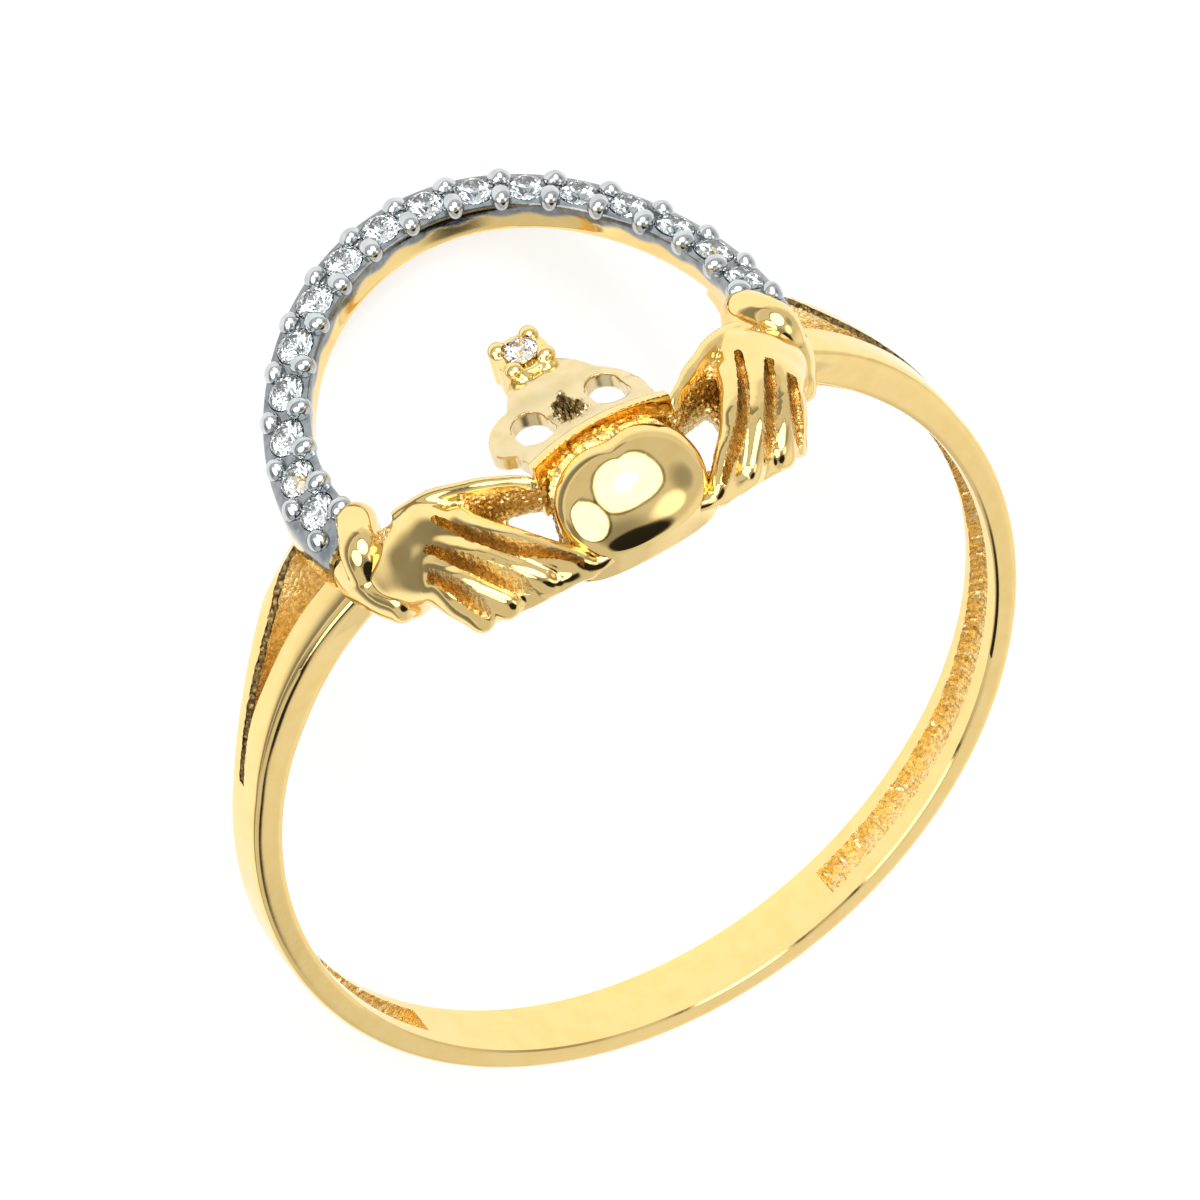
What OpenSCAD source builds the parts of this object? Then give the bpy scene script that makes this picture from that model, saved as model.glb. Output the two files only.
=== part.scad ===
// Claddagh ring: a split-shank band, two cuffed hands holding a crowned heart,
// and an arc of sixteen small stones behind the crown. Lengths are in millimetres.
// The ring is drawn round the finger first: x across the finger, y along it towards
// the arc, z up towards the head. Then it is laid on its side, arc down.

/* [Band] */
// Inside diameter of the band
bore_d = 17; // [15:0.25:21]
// Width of the band along the finger, at the back of the hand
band_w = 1.56; // [1.3:0.02:2.2]
// Thickness of the band at its bottom
band_t = 0.5; // [0.4:0.02:0.8]
// How much thicker the band is at its sides than at its bottom
side_extra = 0.14; // [0.05:0.01:0.3]
// How much thicker again the shoulders are
shoulder_extra = 0.26; // [0.1:0.02:0.5]
// Where the shoulders begin to thicken, in degrees from the bottom
shoulder_start = 109; // [100:1:115]
// Depth of the cast channels inside the band
channel_depth = 0.22; // [0.1:0.01:0.3]
// Width of the rims beside the channels
channel_rim = 0.3; // [0.2:0.01:0.4]
// Where the shank splits, in degrees from the bottom
split_start = 114; // [110:1:120]

/* [Stone arc] */
// Radius of the row of stones, seen from above
arc_r = 5.1; // [4.6:0.05:5.6]
// How far the arc's centre lies behind the middle of the band
arc_shift = 0.4; // [0.2:0.05:0.7]
// Number of stones in the arc
arc_stones = 16; // [12:1:17]
// Width of the setting
setting_w = 1.1; // [1:0.02:1.3]
// Height of the setting's rim above the bore
setting_rise = 1.8; // [1.6:0.05:2.2]
// Height of the setting's wall
setting_t = 0.75; // [0.65:0.01:0.9]
// Radius of the beads that hold the stones
bead_r = 0.18; // [0.12:0.01:0.19]
// Diameter of a stone's girdle
stone_d = 0.84; // [0.7:0.01:0.86]
// Gap between a stone and its metal
stone_gap = 0.02; // [0.01:0.005:0.03]

/* [Hands] */
// How far the middle of a cuff lies inside the row of stones
cuff_inset = 0.38; // [0.2:0.02:0.6]
// Height of the backs of the hands above the bore
hand_rise = 2.1; // [1.8:0.05:2.4]
// Reach of the finger tips in front of the middle of the band
hand_reach = 5.1; // [4.8:0.05:5.4]
// Half width of a finger
finger_hw = 0.22; // [0.18:0.01:0.25]
// Outer radius of the rolled cuff
cuff_r = 1.06; // [0.95:0.01:1.15]
// Radius of the cuff's roll
roll_r = 0.36; // [0.28:0.01:0.4]

/* [Heart and crown] */
// Half width of the heart
heart_hw = 1.42; // [1.2:0.01:1.5]
// Half length of the heart
heart_hl = 0.97; // [0.9:0.01:1.1]
// Height of the heart's dome above its rim
heart_dome = 0.75; // [0.5:0.01:0.9]
// Length of the crown from its base strip to the middle of its stone
crown_len = 3.4; // [3.1:0.05:3.6]
// Half width of the crown's base strip
crown_hw = 1.6; // [1.4:0.02:1.7]
// Thickness of the crown's plate
crown_t = 0.4; // [0.3:0.01:0.5]
// Diameter of the crown's stone
crown_stone_d = 0.74; // [0.6:0.01:0.8]
// Radius of a prong of the crown's collet
prong_r = 0.19; // [0.15:0.01:0.2]

/* [Hidden] */
bore_r = bore_d / 2;
fine = 96;

side_r = bore_r + band_t + side_extra;
cuff_angle = 142;
shoulder_lift = shoulder_extra / (cos(shoulder_start) - cos(cuff_angle));
shoulder_r = side_r + shoulder_lift * cos(shoulder_start);
shank_w = 6;

// Behind rear_y the outside of the arms falls away from its rise above the bore
rear_y = 0.45;
rear_rise = 1.3;
rear_r = bore_r + rear_rise;
rear_fall = 0.5;

// Radius at which the shank's edges are measured
edge_out = 0.06;
edge_r = side_r + edge_out;

// Edges of the shank seen from the side: angle from the bottom in degrees,
// then the front and the rear edge as shares of the band's width
shank_edges = [
    [0, -0.50, 0.50], [45, -0.50, 0.48], [75, -0.45, 0.41], [100, -0.40, 0.35],
    [114, -0.42, 0.37], [121, -0.46, 0.43], [128, -0.50, 0.57], [135, -0.57, 0.76],
    [142, -0.69, 0.98], [148, -0.80, 1.17], [152, -0.85, 1.26]];

// The split between the arms: degrees past its start, then its front and rear
// side as shares of the band's width
split_edges = [
    [0, 0.03, 0.04], [5, 0.03, 0.09], [10, 0.02, 0.15], [14, -0.02, 0.21],
    [18, -0.05, 0.28], [23, -0.08, 0.42], [28, -0.12, 0.62], [34, -0.20, 0.80],
    [39, -0.22, 0.86]];

// The riser that carries the arc on each rear arm: angle from the bottom in
// degrees, then its front and rear side as shares of the band's width
riser_edges = [[138, 0.48, 0.95], [145, 0.68, 1.13], [154, 0.80, 1.25], [165, 0.84, 1.30]];

// Foot of the risers above the bore, and their top below the setting's rim
riser_foot = 0.1;
riser_drop = 0.1;

// Channels inside the band: first and last angle from the bottom in degrees
channels = [[-112, -50], [21, 112]];

// How far the arms stay clear of the arc's opening
arm_clear = 0.4;

arc_in = arc_r - setting_w / 2;
arc_out = arc_r + setting_w / 2;
arc_end = 0.7;

// The beads stand in fours round each stone, bead_gap clear of it
stone_step = 180 / (arc_stones - 1);
bead_gap = 0.015;
bead_spread_min = 0.15;
bead_dist = stone_d / 2 + bead_r + bead_gap;
bead_sag = arc_r * (1 - cos(stone_step / 2));
bead_spread = bead_sag + sqrt(max(pow(bead_spread_min, 2), pow(bead_dist, 2) + pow(bead_sag, 2)
    - 2 * arc_r * bead_sag));

// Proportions of a round brilliant, as shares of its diameter
table_share = 0.56;
crown_share = 0.15;
pavilion_share = 0.43;
girdle_share = 0.03;

// A seat's flat bottom, and how far it is open above the girdle
seat_tip = 0.05;
seat_above = 1;

// Fingers, index to little. Across and along are shares of cuff_x and hand_reach,
// rise is a share of hand_rise; knuckle, middle and tip in turn
fingers = [
    [[0.69, 0.47, 0.98], [0.50, 0.76, 0.82], [0.24, 0.99, 0.47]],
    [[0.79, 0.53, 0.96], [0.62, 0.79, 0.80], [0.40, 1.00, 0.44]],
    [[0.87, 0.60, 0.93], [0.74, 0.80, 0.80], [0.56, 0.95, 0.56]],
    [[0.87, 0.66, 0.90], [0.82, 0.78, 0.78], [0.70, 0.89, 0.58]]];
thumb = [[0.88, 0.25, 0.96], [0.59, 0.45, 1.01], [0.31, 0.625, 1.05]];
thumb_hw = 0.19;
finger_depth = 0.42;
thumb_depth = 0.5;
strand_taper = 0.35;

// The backs of the hands: across, along and rise of a ball's top as above, and
// its radius in millimetres
palm_balls = [
    [0.94, 0.36, 0.97, 0.62], [0.76, 0.42, 1.00, 0.60],
    [0.85, 0.57, 0.96, 0.50], [0.74, 0.53, 0.98, 0.45]];

// Outline of the plate under the hands and the heart, right half, from the
// crown round the hand to the heart's tip: shares of cuff_x and hand_reach
plate_half = [
    [0, 0.59], [0.33, 0.58], [0.50, 0.47], [0.68, 0.33], [0.86, 0.24], [0.96, 0.26],
    [0.92, 0.42], [0.87, 0.56], [0.83, 0.68], [0.79, 0.78], [0.70, 0.86], [0.58, 0.93],
    [0.44, 0.985], [0.26, 1.02], [0.14, 1.0], [0, 1.0]];

// Underside and top of that plate along the finger: a share of hand_reach, then
// two shares of hand_rise
plate_rows = [
    [1.05, 0.34, 0.40], [0.98, 0.30, 0.46], [0.88, 0.22, 0.48],
    [0.70, 0.20, 0.50], [0.47, 0.20, 0.52], [0.15, 0.20, 0.52]];

// The gap between an index finger and its thumb: shares of cuff_x and hand_reach
gap_half = [[0.52, 0.53], [0.35, 0.62], [0.33, 0.86], [0.37, 0.84], [0.47, 0.70]];

// The cuffs: their place along the finger, their lift above the hands, their turn
// about the finger's height and the fullness of their corners
cuff_x = arc_r - cuff_inset;
cuff_share = 0.22;
cuff_y = -cuff_share * hand_reach;
cuff_lift = 0.1;
cuff_turn = 21;
cuff_power = 3.4;
sleeve_len = 0.6;

// The heart: its middle, the height of its rim above the bore, the rim's rise
// towards the crown, and how high its flank begins
heart_x = -0.06;
heart_share = 0.865;
heart_y = -heart_share * hand_reach;
heart_rim = 1.45;
heart_slope = 0.55;
heart_foot = 0.2;
foot_wide = 1.03;
foot_front = 0.6;

// The heart's outline: fullness of its corners, how much it narrows at the tip,
// and the depth and width of the dip between its lobes
heart_power = 2.4;
heart_narrow = 0.08;
heart_dip = 0.12;
dip_w = 0.3;
dome_full = 0.8;

// The crown: where its base strip begins, its height above the bore there and its
// fall towards the arc
crown_y = -3.15;
crown_rise = 2.22;
crown_fall = 0.34;
crown_front = -4;
crown_back = 1.2;

// Its base strip: width, bow, depth and how far it stands proud of the plate
strip_w = 0.36;
strip_bend = 0.12;
strip_t = 1.28;
strip_proud = 0.12;

// Its two pierced loops; they lie a little to one side
loop_x = 0.87;
loop_y = 1.4;
loop_r = 0.82;
crown_off = -0.13;
loop_hole_r = 0.38;
loop_hole_len = 0.5;
hole_y = 1.3;
crown_edge = 0.1;
neck_hw = 0.5;
neck_back = 0.3;

// Its stone's collet: radius, height of the stone's girdle above the bore, how far
// the cup and the prongs reach below that and stop short of it
collet_y = crown_y + crown_len;
collet_r = 0.58;
collet_rise = 1.86;
cup_depth = 0.95;
cup_drop = 0.15;
prong_spread = 0.53;
prong_depth = 0.9;
prong_drop = 0.12;

// The ring lies on the arc's rim and the rear edge of the band's bottom
lean = atan((arc_shift + arc_out - band_w / 2) / (up(0, setting_rise - setting_t) + bore_r + band_t));

function stone_name(i) = str("stone_", i < 10 ? "0" : "", i);
function unit(v) = v / norm(v);
function mix(a, b, t) = a + (b - a) * t;

// Height above the bore's axis of a point that lies rise above the bore
function up(x, rise) = sqrt(pow(bore_r + rise, 2) - x * x);
function over_bore(x, y, rise) = [x, y, up(x, rise)];
function on_hand(p, drop) = over_bore(p[0] * cuff_x, -p[1] * hand_reach, p[2] * hand_rise - drop);

// A curve through three points, at the share t of its length
function bend(p, t) = let(c = 2 * p[1] - (p[0] + p[2]) / 2)
    mix(mix(p[0], c, t), mix(c, p[2], t), t);

// How full a strand is at the share t of its length, with round ends
function fullness(t, end) = let(s = min(t, 1 - t) / end) s >= 1 ? 1 : sqrt(1 - pow(1 - s, 2));

// Angle of stone i of the arc, seen from above
function stone_angle(i) = stone_step * (i - 1);
function arc_point(a, r, rise) = let(x = r * cos(a)) over_bore(x, arc_shift + r * sin(a), rise);

// A closed skin over rings of points, from a first point to a last one
module skin(start, rings, end) {
    n = len(rings[0]);
    m = len(rings);
    last = m * n + 1;
    polyhedron(
        points = concat([start], [for (r = rings) each r], [end]),
        faces = concat(
            [for (i = [0:n - 1]) [0, 1 + (i + 1) % n, 1 + i]],
            [for (k = [0:m - 2], i = [0:n - 1])
                let(a = 1 + k * n + i, b = 1 + k * n + (i + 1) % n)
                each [[a, b, a + n], [b, b + n, a + n]]],
            [for (i = [0:n - 1]) [last, last - n + i, last - n + (i + 1) % n]]));
}

// A rounded strand of metal along three points of the hand
module strand(p, hw, depth) {
    steps = 12;
    sides = 12;
    line = [for (k = [0:steps]) on_hand(bend(p, k / steps), depth)];
    ring = function (k) let(
        t = k / steps,
        d = unit(line[k + 1] - line[k - 1]),
        s = unit(cross(d, [0, 0, 1])),
        u = cross(s, d),
        f = fullness(t, 0.2) * (1 - strand_taper * t))
        [for (i = [0:sides - 1]) let(a = 360 * i / sides)
            line[k] + s * hw * f * cos(a) + u * depth * f * sin(a)];
    skin(line[0], [for (k = [1:steps - 1]) ring(k)], line[steps]);
}

// What lies between two heights above the bore, given along the finger
module over_finger(low, high)
    rotate([-90, 0, 0]) rotate_extrude($fn = fine)
        polygon(concat(low, [for (i = [len(high) - 1:-1:0]) high[i]]));

// Seen from above: y of the outline is along the finger
module from_above() linear_extrude(height = 3 * bore_r) children();

module both_sides() {
    children();
    mirror([1, 0, 0]) children();
}

// Seen from the side: x of the outline is along the finger, y is up
module from_side() rotate([90, 0, 90]) linear_extrude(height = 4 * bore_r, center = true) children();

// Outline between a front and a rear edge, given by angle from the bottom
function side_rows(rows, start, r) = concat(
    [for (row = rows) [row[1] * band_w, -r * cos(start + row[0])]],
    [for (i = [len(rows) - 1:-1:0]) [rows[i][2] * band_w, -r * cos(start + rows[i][0])]]);

// The hoop that the shank is cut from: its outside grows thicker at the shoulders
module hoop() rotate([90, 0, 0]) difference() {
    linear_extrude(height = shank_w, center = true) union() {
        translate([0, side_extra]) circle(r = side_r, $fn = fine);
        translate([0, side_extra + shoulder_lift]) circle(r = shoulder_r, $fn = fine);
    }
    cylinder(r = bore_r, h = 2 * shank_w, center = true, $fn = fine);
}

// A shallow channel cast into the inside of the band, between its rims
module channel(from, to) rotate([90, 0, 0]) rotate(from - 90)
    rotate_extrude(angle = to - from, $fn = fine)
        translate([bore_r - 1, -band_w * 0.35 + channel_rim / 2])
            square([1 + channel_depth, band_w * 0.7 - channel_rim]);

// The band with its split shoulders, open where the arc stands
module shank() difference() {
    intersection() {
        hoop();
        over_finger([[1, -shank_w], [1, shank_w]],
            [[rear_r, -shank_w], [rear_r, rear_y], [rear_r - rear_fall * (shank_w - rear_y), shank_w]]);
        from_side() polygon(concat([[-band_w / 2, -edge_r - 1]],
            side_rows(shank_edges, 0, edge_r), [[band_w / 2, -edge_r - 1]]));
    }
    from_side() polygon(side_rows(split_edges, split_start, edge_r));
    for (c = channels) channel(c[0], c[1]);
    translate([0, arc_shift, 0]) cylinder(r = arc_in + arm_clear, h = 2 * bore_r, $fn = fine);
}

// Upright tube of the arc's outline, from above
module arc_tube(inner) translate([0, arc_shift, bore_r / 2]) difference() {
    cylinder(r = arc_out, h = bore_r, $fn = fine);
    translate([0, 0, -1]) cylinder(r = inner, h = bore_r + 2, $fn = fine);
}

// What lies between two heights above the bore, all along the finger
module round_wall(from, to) rotate([90, 0, 0]) difference() {
    cylinder(r = bore_r + to, h = 4 * bore_r, center = true, $fn = fine);
    cylinder(r = bore_r + from, h = 5 * bore_r, center = true, $fn = fine);
}

// Metal between the rear arms and the arc that they carry
module risers() intersection() {
    arc_tube(arc_in + arm_clear);
    from_side() polygon(side_rows(riser_edges, 0, edge_r));
    round_wall(riser_foot, setting_rise - riser_drop);
}

// Stands its children upright on the arc at stone i
module at_stone(i) {
    p = arc_point(stone_angle(i), arc_r, setting_rise);
    translate(p) rotate([0, asin(p[0] / (bore_r + setting_rise)), 0]) children();
}

// The cut seat of a stone whose girdle is at height 0, open above
module seat(d) {
    r = d / 2 + stone_gap;
    below = d * girdle_share + stone_gap;
    rotate_extrude($fn = fine / 2) polygon([
        [0, -below - d * pavilion_share], [seat_tip, -below - d * pavilion_share],
        [r, -below], [r, seat_above], [0, seat_above]]);
}

// The arc's wall with its risers, the seats of its stones and its beads
module setting() {
    difference() {
        union() {
            intersection() {
                arc_tube(arc_in);
                round_wall(setting_rise - setting_t, setting_rise);
                translate([-bore_r, -arc_end, 0]) cube(2 * bore_r);
            }
            risers();
        }
        for (i = [1:arc_stones]) at_stone(i) seat(stone_d);
    }
    for (i = [0:arc_stones], side = [-1, 1])
        translate(arc_point(stone_angle(i + 0.5), arc_r + side * bead_spread, setting_rise))
            sphere(r = bead_r, $fn = 24);
}

// A closed outline from its right half: shares of the lengths x and y
function shape_of(half, x, y) = concat(
    [for (p = half) [p[0] * x, -p[1] * y]],
    [for (i = [len(half) - 1:-1:0]) if (half[i][0] > 0) [-half[i][0] * x, -half[i][1] * y]]);

// The plate that joins the hands and the heart, with a gap between each index
// finger and thumb
module plate() difference() {
    intersection() {
        from_above() polygon(shape_of(plate_half, cuff_x, hand_reach));
        over_finger([for (p = plate_rows) [bore_r + p[1] * hand_rise, -p[0] * hand_reach]],
            [for (p = plate_rows) [bore_r + p[2] * hand_rise, -p[0] * hand_reach]]);
    }
    both_sides() from_above() polygon([for (p = gap_half) [p[0] * cuff_x, -p[1] * hand_reach]]);
}

// The back of a hand, with its first knuckles
module palm() hull() for (b = palm_balls)
    translate(on_hand(b, b[3])) sphere(r = b[3], $fn = 24);

// The cuff: a squarish rolled hem round the wrist and a short sleeve inside it
module cuff() translate([cuff_x, cuff_y, up(cuff_x, hand_rise) - cuff_r + cuff_lift])
    rotate([0, 90, 0]) rotate([-cuff_turn, 0, 0]) {
        hem(cuff_r - roll_r, roll_r);
        translate([0, 0, -sleeve_len]) cylinder(r = cuff_r - roll_r, h = sleeve_len, $fn = fine);
    }

// A rolled bead along a squarish loop of the given half width
module hem(half, r) {
    m = 28;
    n = 10;
    polyhedron(
        points = [for (k = [0:m - 1], i = [0:n - 1])
            let(e = squarish(360 * k / m, cuff_power), q = half + r * cos(360 * i / n) / norm(e))
            [e[0] * q, e[1] * q, r * sin(360 * i / n)]],
        faces = [for (k = [0:m - 1], i = [0:n - 1])
            let(j = (i + 1) % n, l = (k + 1) % m) each [
                [k * n + i, l * n + j, l * n + i], [k * n + i, k * n + j, l * n + j]]]);
}

// A point of a squarish loop of half width 1, fuller at the corners with a higher power
function squarish(a, power) = let(
    r = pow(pow(abs(cos(a)), power) + pow(abs(sin(a)), power), -1 / power)) [r * cos(a), r * sin(a)];

// A point of the heart's outline, as shares of its half width and half length
function heart_edge(a) = let(e = squarish(a, heart_power)) [
    e[0] * (1 - heart_narrow * max(0, -sin(a))),
    e[1] - heart_dip * max(0, sin(a)) * exp(-pow(cos(a) / dip_w, 2))];

function heart_point(e, share, rise) = let(x = heart_x + e[0] * share * heart_hw, v = e[1] * share)
    over_bore(x, heart_y + v * heart_hl, rise + heart_slope * v);

function foot_point(e) = over_bore(heart_x + e[0] * heart_hw * foot_wide,
    heart_y + e[1] * heart_hl * (e[1] < 0 ? foot_front : 1), heart_foot);

// The domed heart, its flank down to the plate
module heart() {
    sides = 40;
    levels = 7;
    top = heart_rim + heart_dome;
    edge = [for (i = [sides:-1:1]) heart_edge(360 * i / sides)];
    dome = [for (k = [0:levels - 1]) let(a = 90 * k / levels) [for (e = edge)
        heart_point(e, pow(cos(a), dome_full), heart_rim + heart_dome * sin(a))]];
    skin(over_bore(heart_x, heart_y, heart_foot), concat([[for (e = edge) foot_point(e)]], dome),
        heart_point([0, 0], 0, top));
}

function crown_top(y, extra) = bore_r + crown_rise + extra - crown_fall * (y - crown_y);

// A sloping slab of the given thickness, its top extra above the crown's plate
module crown_slab(extra, thick) {
    ys = [crown_front, crown_back];
    over_finger([for (y = ys) [crown_top(y, extra) - thick, y]], [for (y = ys) [crown_top(y, extra), y]]);
}

module slot(r, len) {
    for (s = [-1, 1]) translate([0, s * len / 2]) circle(r = r, $fn = fine / 2);
    square([2 * r, len], center = true);
}

// Outline of the crown from above, with its two loops pierced
module crown_outline() difference() {
    side = crown_hw - crown_edge;
    shoulder = loop_x + loop_r - crown_edge;
    union() {
        for (s = [-1, 1]) translate([s * loop_x + crown_off, crown_y + loop_y])
            circle(r = loop_r, $fn = fine);
        polygon([
            [-side, crown_y], [side, crown_y], [shoulder, crown_y + hole_y], [neck_hw, collet_y - neck_back],
            [-neck_hw, collet_y - neck_back], [-shoulder, crown_y + hole_y]]);
        translate([0, collet_y]) circle(r = collet_r, $fn = fine / 2);
    }
    both_sides() translate([loop_x, crown_y + hole_y]) slot(loop_hole_r, loop_hole_len);
}

module crown_plate() intersection() {
    from_above() crown_outline();
    crown_slab(0, crown_t);
}

// The raised strip at the crown's base
module strip() intersection() {
    from_above() polygon(concat(
        [for (k = [-4:4]) let(x = k / 4 * crown_hw) [x, crown_y + strip_w - strip_bend * x * x]],
        [for (k = [4:-1:-4]) let(x = k / 4 * crown_hw) [x, crown_y - strip_bend * x * x]]));
    crown_slab(strip_proud, strip_t + strip_proud);
}

module prong() {
    cylinder(r = prong_r, h = prong_depth - prong_drop, $fn = fine / 2);
    translate([0, 0, prong_depth - prong_drop]) sphere(r = prong_r, $fn = fine / 2);
}

// The cup and four prongs that hold the crown's stone
module collet() translate([0, collet_y, up(0, collet_rise)]) difference() {
    union() {
        translate([0, 0, -cup_depth]) cylinder(r = collet_r, h = cup_depth - cup_drop, $fn = fine);
        for (a = [45:90:315]) rotate(a) translate([prong_spread, 0, -prong_depth]) prong();
    }
    seat(crown_stone_d);
}

// A round brilliant with its girdle at height 0: table, eight stars, eight kites,
// sixteen upper and sixteen lower girdle facets and eight pavilion mains
module brilliant(d) {
    r = d / 2;
    g = d * girdle_share / 2;
    table_r = r * table_share;
    star_r = (r + table_r) / 2 / cos(22.5) * 0.98;
    crown_h = d * crown_share;
    star_h = crown_h * (r - star_r * cos(22.5)) / (r - table_r);
    depth = d * pavilion_share;
    lower_r = r * 0.24;
    lower_h = depth * (1 - lower_r * cos(22.5) / r);
    circle_of = function (n, first, rad, z) [for (i = [0:n - 1])
        [rad * cos(first + 360 * i / n), rad * sin(first + 360 * i / n), z]];
    culet = 0;
    low = 1;
    under = 9;
    over = 25;
    mid = 41;
    top = 49;
    polyhedron(
        points = concat([[0, 0, -g - depth]], circle_of(8, 22.5, lower_r, -g - lower_h),
            circle_of(16, 0, r, -g), circle_of(16, 0, r, g),
            circle_of(8, 22.5, star_r, g + star_h), circle_of(8, 0, table_r, g + crown_h)),
        faces = concat(
            [[for (j = [7:-1:0]) top + j]],
            [for (j = [0:7]) let(n = (j + 1) % 8) each [
                [culet, low + (j + 7) % 8, under + 2 * j, low + j],
                [low + j, under + 2 * j, under + 2 * j + 1],
                [low + j, under + 2 * j + 1, under + 2 * n],
                [over + 2 * j, mid + (j + 7) % 8, top + j, mid + j],
                [over + 2 * j, mid + j, over + 2 * j + 1],
                [over + 2 * j + 1, mid + j, over + 2 * n],
                [mid + j, top + j, top + n]]],
            [for (i = [0:15]) let(n = (i + 1) % 16) [under + i, over + i, over + n, under + n]]));
}

// The ring as it lies, with its head forward
module laid_down() rotate([0, 0, 180]) rotate([lean - 90, 0, 0]) children();

// All the metal: soldered and cast in one
module ring_body() color("gold") laid_down() {
    shank();
    setting();
    plate();
    both_sides() {
        palm();
        cuff();
        strand(thumb, thumb_hw, thumb_depth);
        for (f = fingers) strand(f, finger_hw, finger_depth);
    }
    heart();
    crown_plate();
    strip();
    collet();
}

module arc_stone(i) color("white") laid_down() at_stone(i) brilliant(stone_d);

module crown_stone() color("white") laid_down()
    translate([0, collet_y, up(0, collet_rise)]) brilliant(crown_stone_d);

ring_body();
crown_stone();
for (i = [1:arc_stones]) arc_stone(i);
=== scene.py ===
"""The looks of a claddagh ring: hands, crowned heart and an arc of stones on a split band.

Every piece is modelled round the finger in millimetres, x across it, y along it
towards the arc and z up towards the head, and is then laid down as the ring lies.
"""
import logging
import math
from dataclasses import dataclass
from enum import Enum
from typing import Callable, Sequence

import bpy
from mathutils import Matrix, Vector, noise


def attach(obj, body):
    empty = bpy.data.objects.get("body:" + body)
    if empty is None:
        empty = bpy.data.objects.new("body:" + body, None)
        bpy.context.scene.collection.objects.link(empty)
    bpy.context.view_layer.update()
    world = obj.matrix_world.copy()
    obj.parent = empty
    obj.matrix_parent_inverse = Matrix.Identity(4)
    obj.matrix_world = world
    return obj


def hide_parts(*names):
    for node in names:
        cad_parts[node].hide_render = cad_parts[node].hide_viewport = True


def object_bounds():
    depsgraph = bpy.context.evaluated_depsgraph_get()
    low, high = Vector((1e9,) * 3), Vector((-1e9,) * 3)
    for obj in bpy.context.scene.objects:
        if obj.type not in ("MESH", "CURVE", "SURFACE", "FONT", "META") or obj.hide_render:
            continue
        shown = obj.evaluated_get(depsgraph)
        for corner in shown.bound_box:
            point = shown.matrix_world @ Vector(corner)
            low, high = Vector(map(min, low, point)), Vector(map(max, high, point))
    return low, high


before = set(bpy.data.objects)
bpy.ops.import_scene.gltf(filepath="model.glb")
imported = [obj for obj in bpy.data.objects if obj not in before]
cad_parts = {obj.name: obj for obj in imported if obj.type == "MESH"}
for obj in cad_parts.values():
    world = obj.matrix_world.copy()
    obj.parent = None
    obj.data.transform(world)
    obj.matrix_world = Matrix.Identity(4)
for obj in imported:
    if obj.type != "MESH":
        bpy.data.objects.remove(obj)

log = logging.getLogger("ring")
CAD_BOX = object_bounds()
Point = tuple[float, float, float]
# A table row by row, or an outline corner by corner.
Rows = tuple[tuple[float, ...], ...]
# How far the finger hole's axis leans from upright while the ring lies on its arc and its band.
LEAN = math.radians(15.859691)
LAID = Matrix.Rotation(math.pi, 4, "Z") @ Matrix.Rotation(LEAN - math.pi / 2, 4, "X")
MM = 0.001
# Size of the bumps of cast metal, and how the noise that makes them is built up.
BUMP = 0.07
FRACTAL = (0.6, 2.0, 3)


class Finish(Enum):
    """Names of the record's slots for the pieces of metal."""

    GOLD = "yellow_gold"
    WHITE = "white_rhodium"


@dataclass(frozen=True)
class Band:
    """Sizes of the ring that several pieces share, in millimetres.

    Attributes:
        bore_r: Radius of the finger hole.
        width: Width of the band at its bottom.
        edge_r: Radius at which the edges of the arms are read.
        arc_r: Radius of the row of stones from above.
        arc_y: How far the arc's centre lies behind the middle of the band.
        arc_rise: Height of the arc's rim above the bore.
        overlap: How far the arms and risers reach into the arc's wall.
        cuff_x: Distance from the middle to a cuff.
        reach: Reach of the finger tips in front of the middle.
        rise: Height of the backs of the hands above the bore.
    """

    bore_r: float = 8.5
    width: float = 1.56
    edge_r: float = 9.2
    arc_r: float = 5.1
    arc_y: float = 0.4
    arc_rise: float = 1.8
    overlap: float = 0.15
    cuff_x: float = 4.72
    reach: float = 5.1
    rise: float = 2.1

    def up(self, x: float, rise: float) -> float:
        """Height over the bore's axis of what lies rise above the bore at x."""
        return math.sqrt(max(0.0, (self.bore_r + rise) ** 2 - x * x))

    def over(self, x: float, y: float, rise: float) -> Vector:
        """The point at x and y that lies rise above the bore."""
        return Vector((x, y, self.up(x, rise)))


BAND = Band()


def table(rows: Rows, at: float, column: int) -> float:
    """Reads a smooth value from a table whose first column rises.

    Args:
        rows: The table.
        at: Where it is read.
        column: The column that is read.

    Returns:
        The value, held at the table's ends.
    """
    if at <= rows[0][0]:
        return rows[0][column]
    for k in range(len(rows) - 1):
        if at <= rows[k + 1][0]:
            a, b = rows[k], rows[k + 1]
            before = rows[max(k - 1, 0)]
            after = rows[min(k + 2, len(rows) - 1)]
            width = b[0] - a[0]
            t = (at - a[0]) / width
            rise_a = (b[column] - before[column]) / max(b[0] - before[0], 1e-6) * width
            rise_b = (after[column] - a[column]) / max(after[0] - a[0], 1e-6) * width
            return ((2 * t**3 - 3 * t * t + 1) * a[column] + (t**3 - 2 * t * t + t) * rise_a
                    + (3 * t * t - 2 * t**3) * b[column] + (t**3 - t * t) * rise_b)
    return rows[-1][column]


def squarish(angle: float, power: float) -> tuple[float, float]:
    """A point of a squarish loop of half width 1, fuller at its corners with a higher power.

    Args:
        angle: The angle round the loop, in radians.
        power: How square the loop is.

    Returns:
        The point's two coordinates.
    """
    c, s = math.cos(angle), math.sin(angle)
    r = (abs(c) ** power + abs(s) ** power) ** (-1 / power)
    return r * c, r * s


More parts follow.
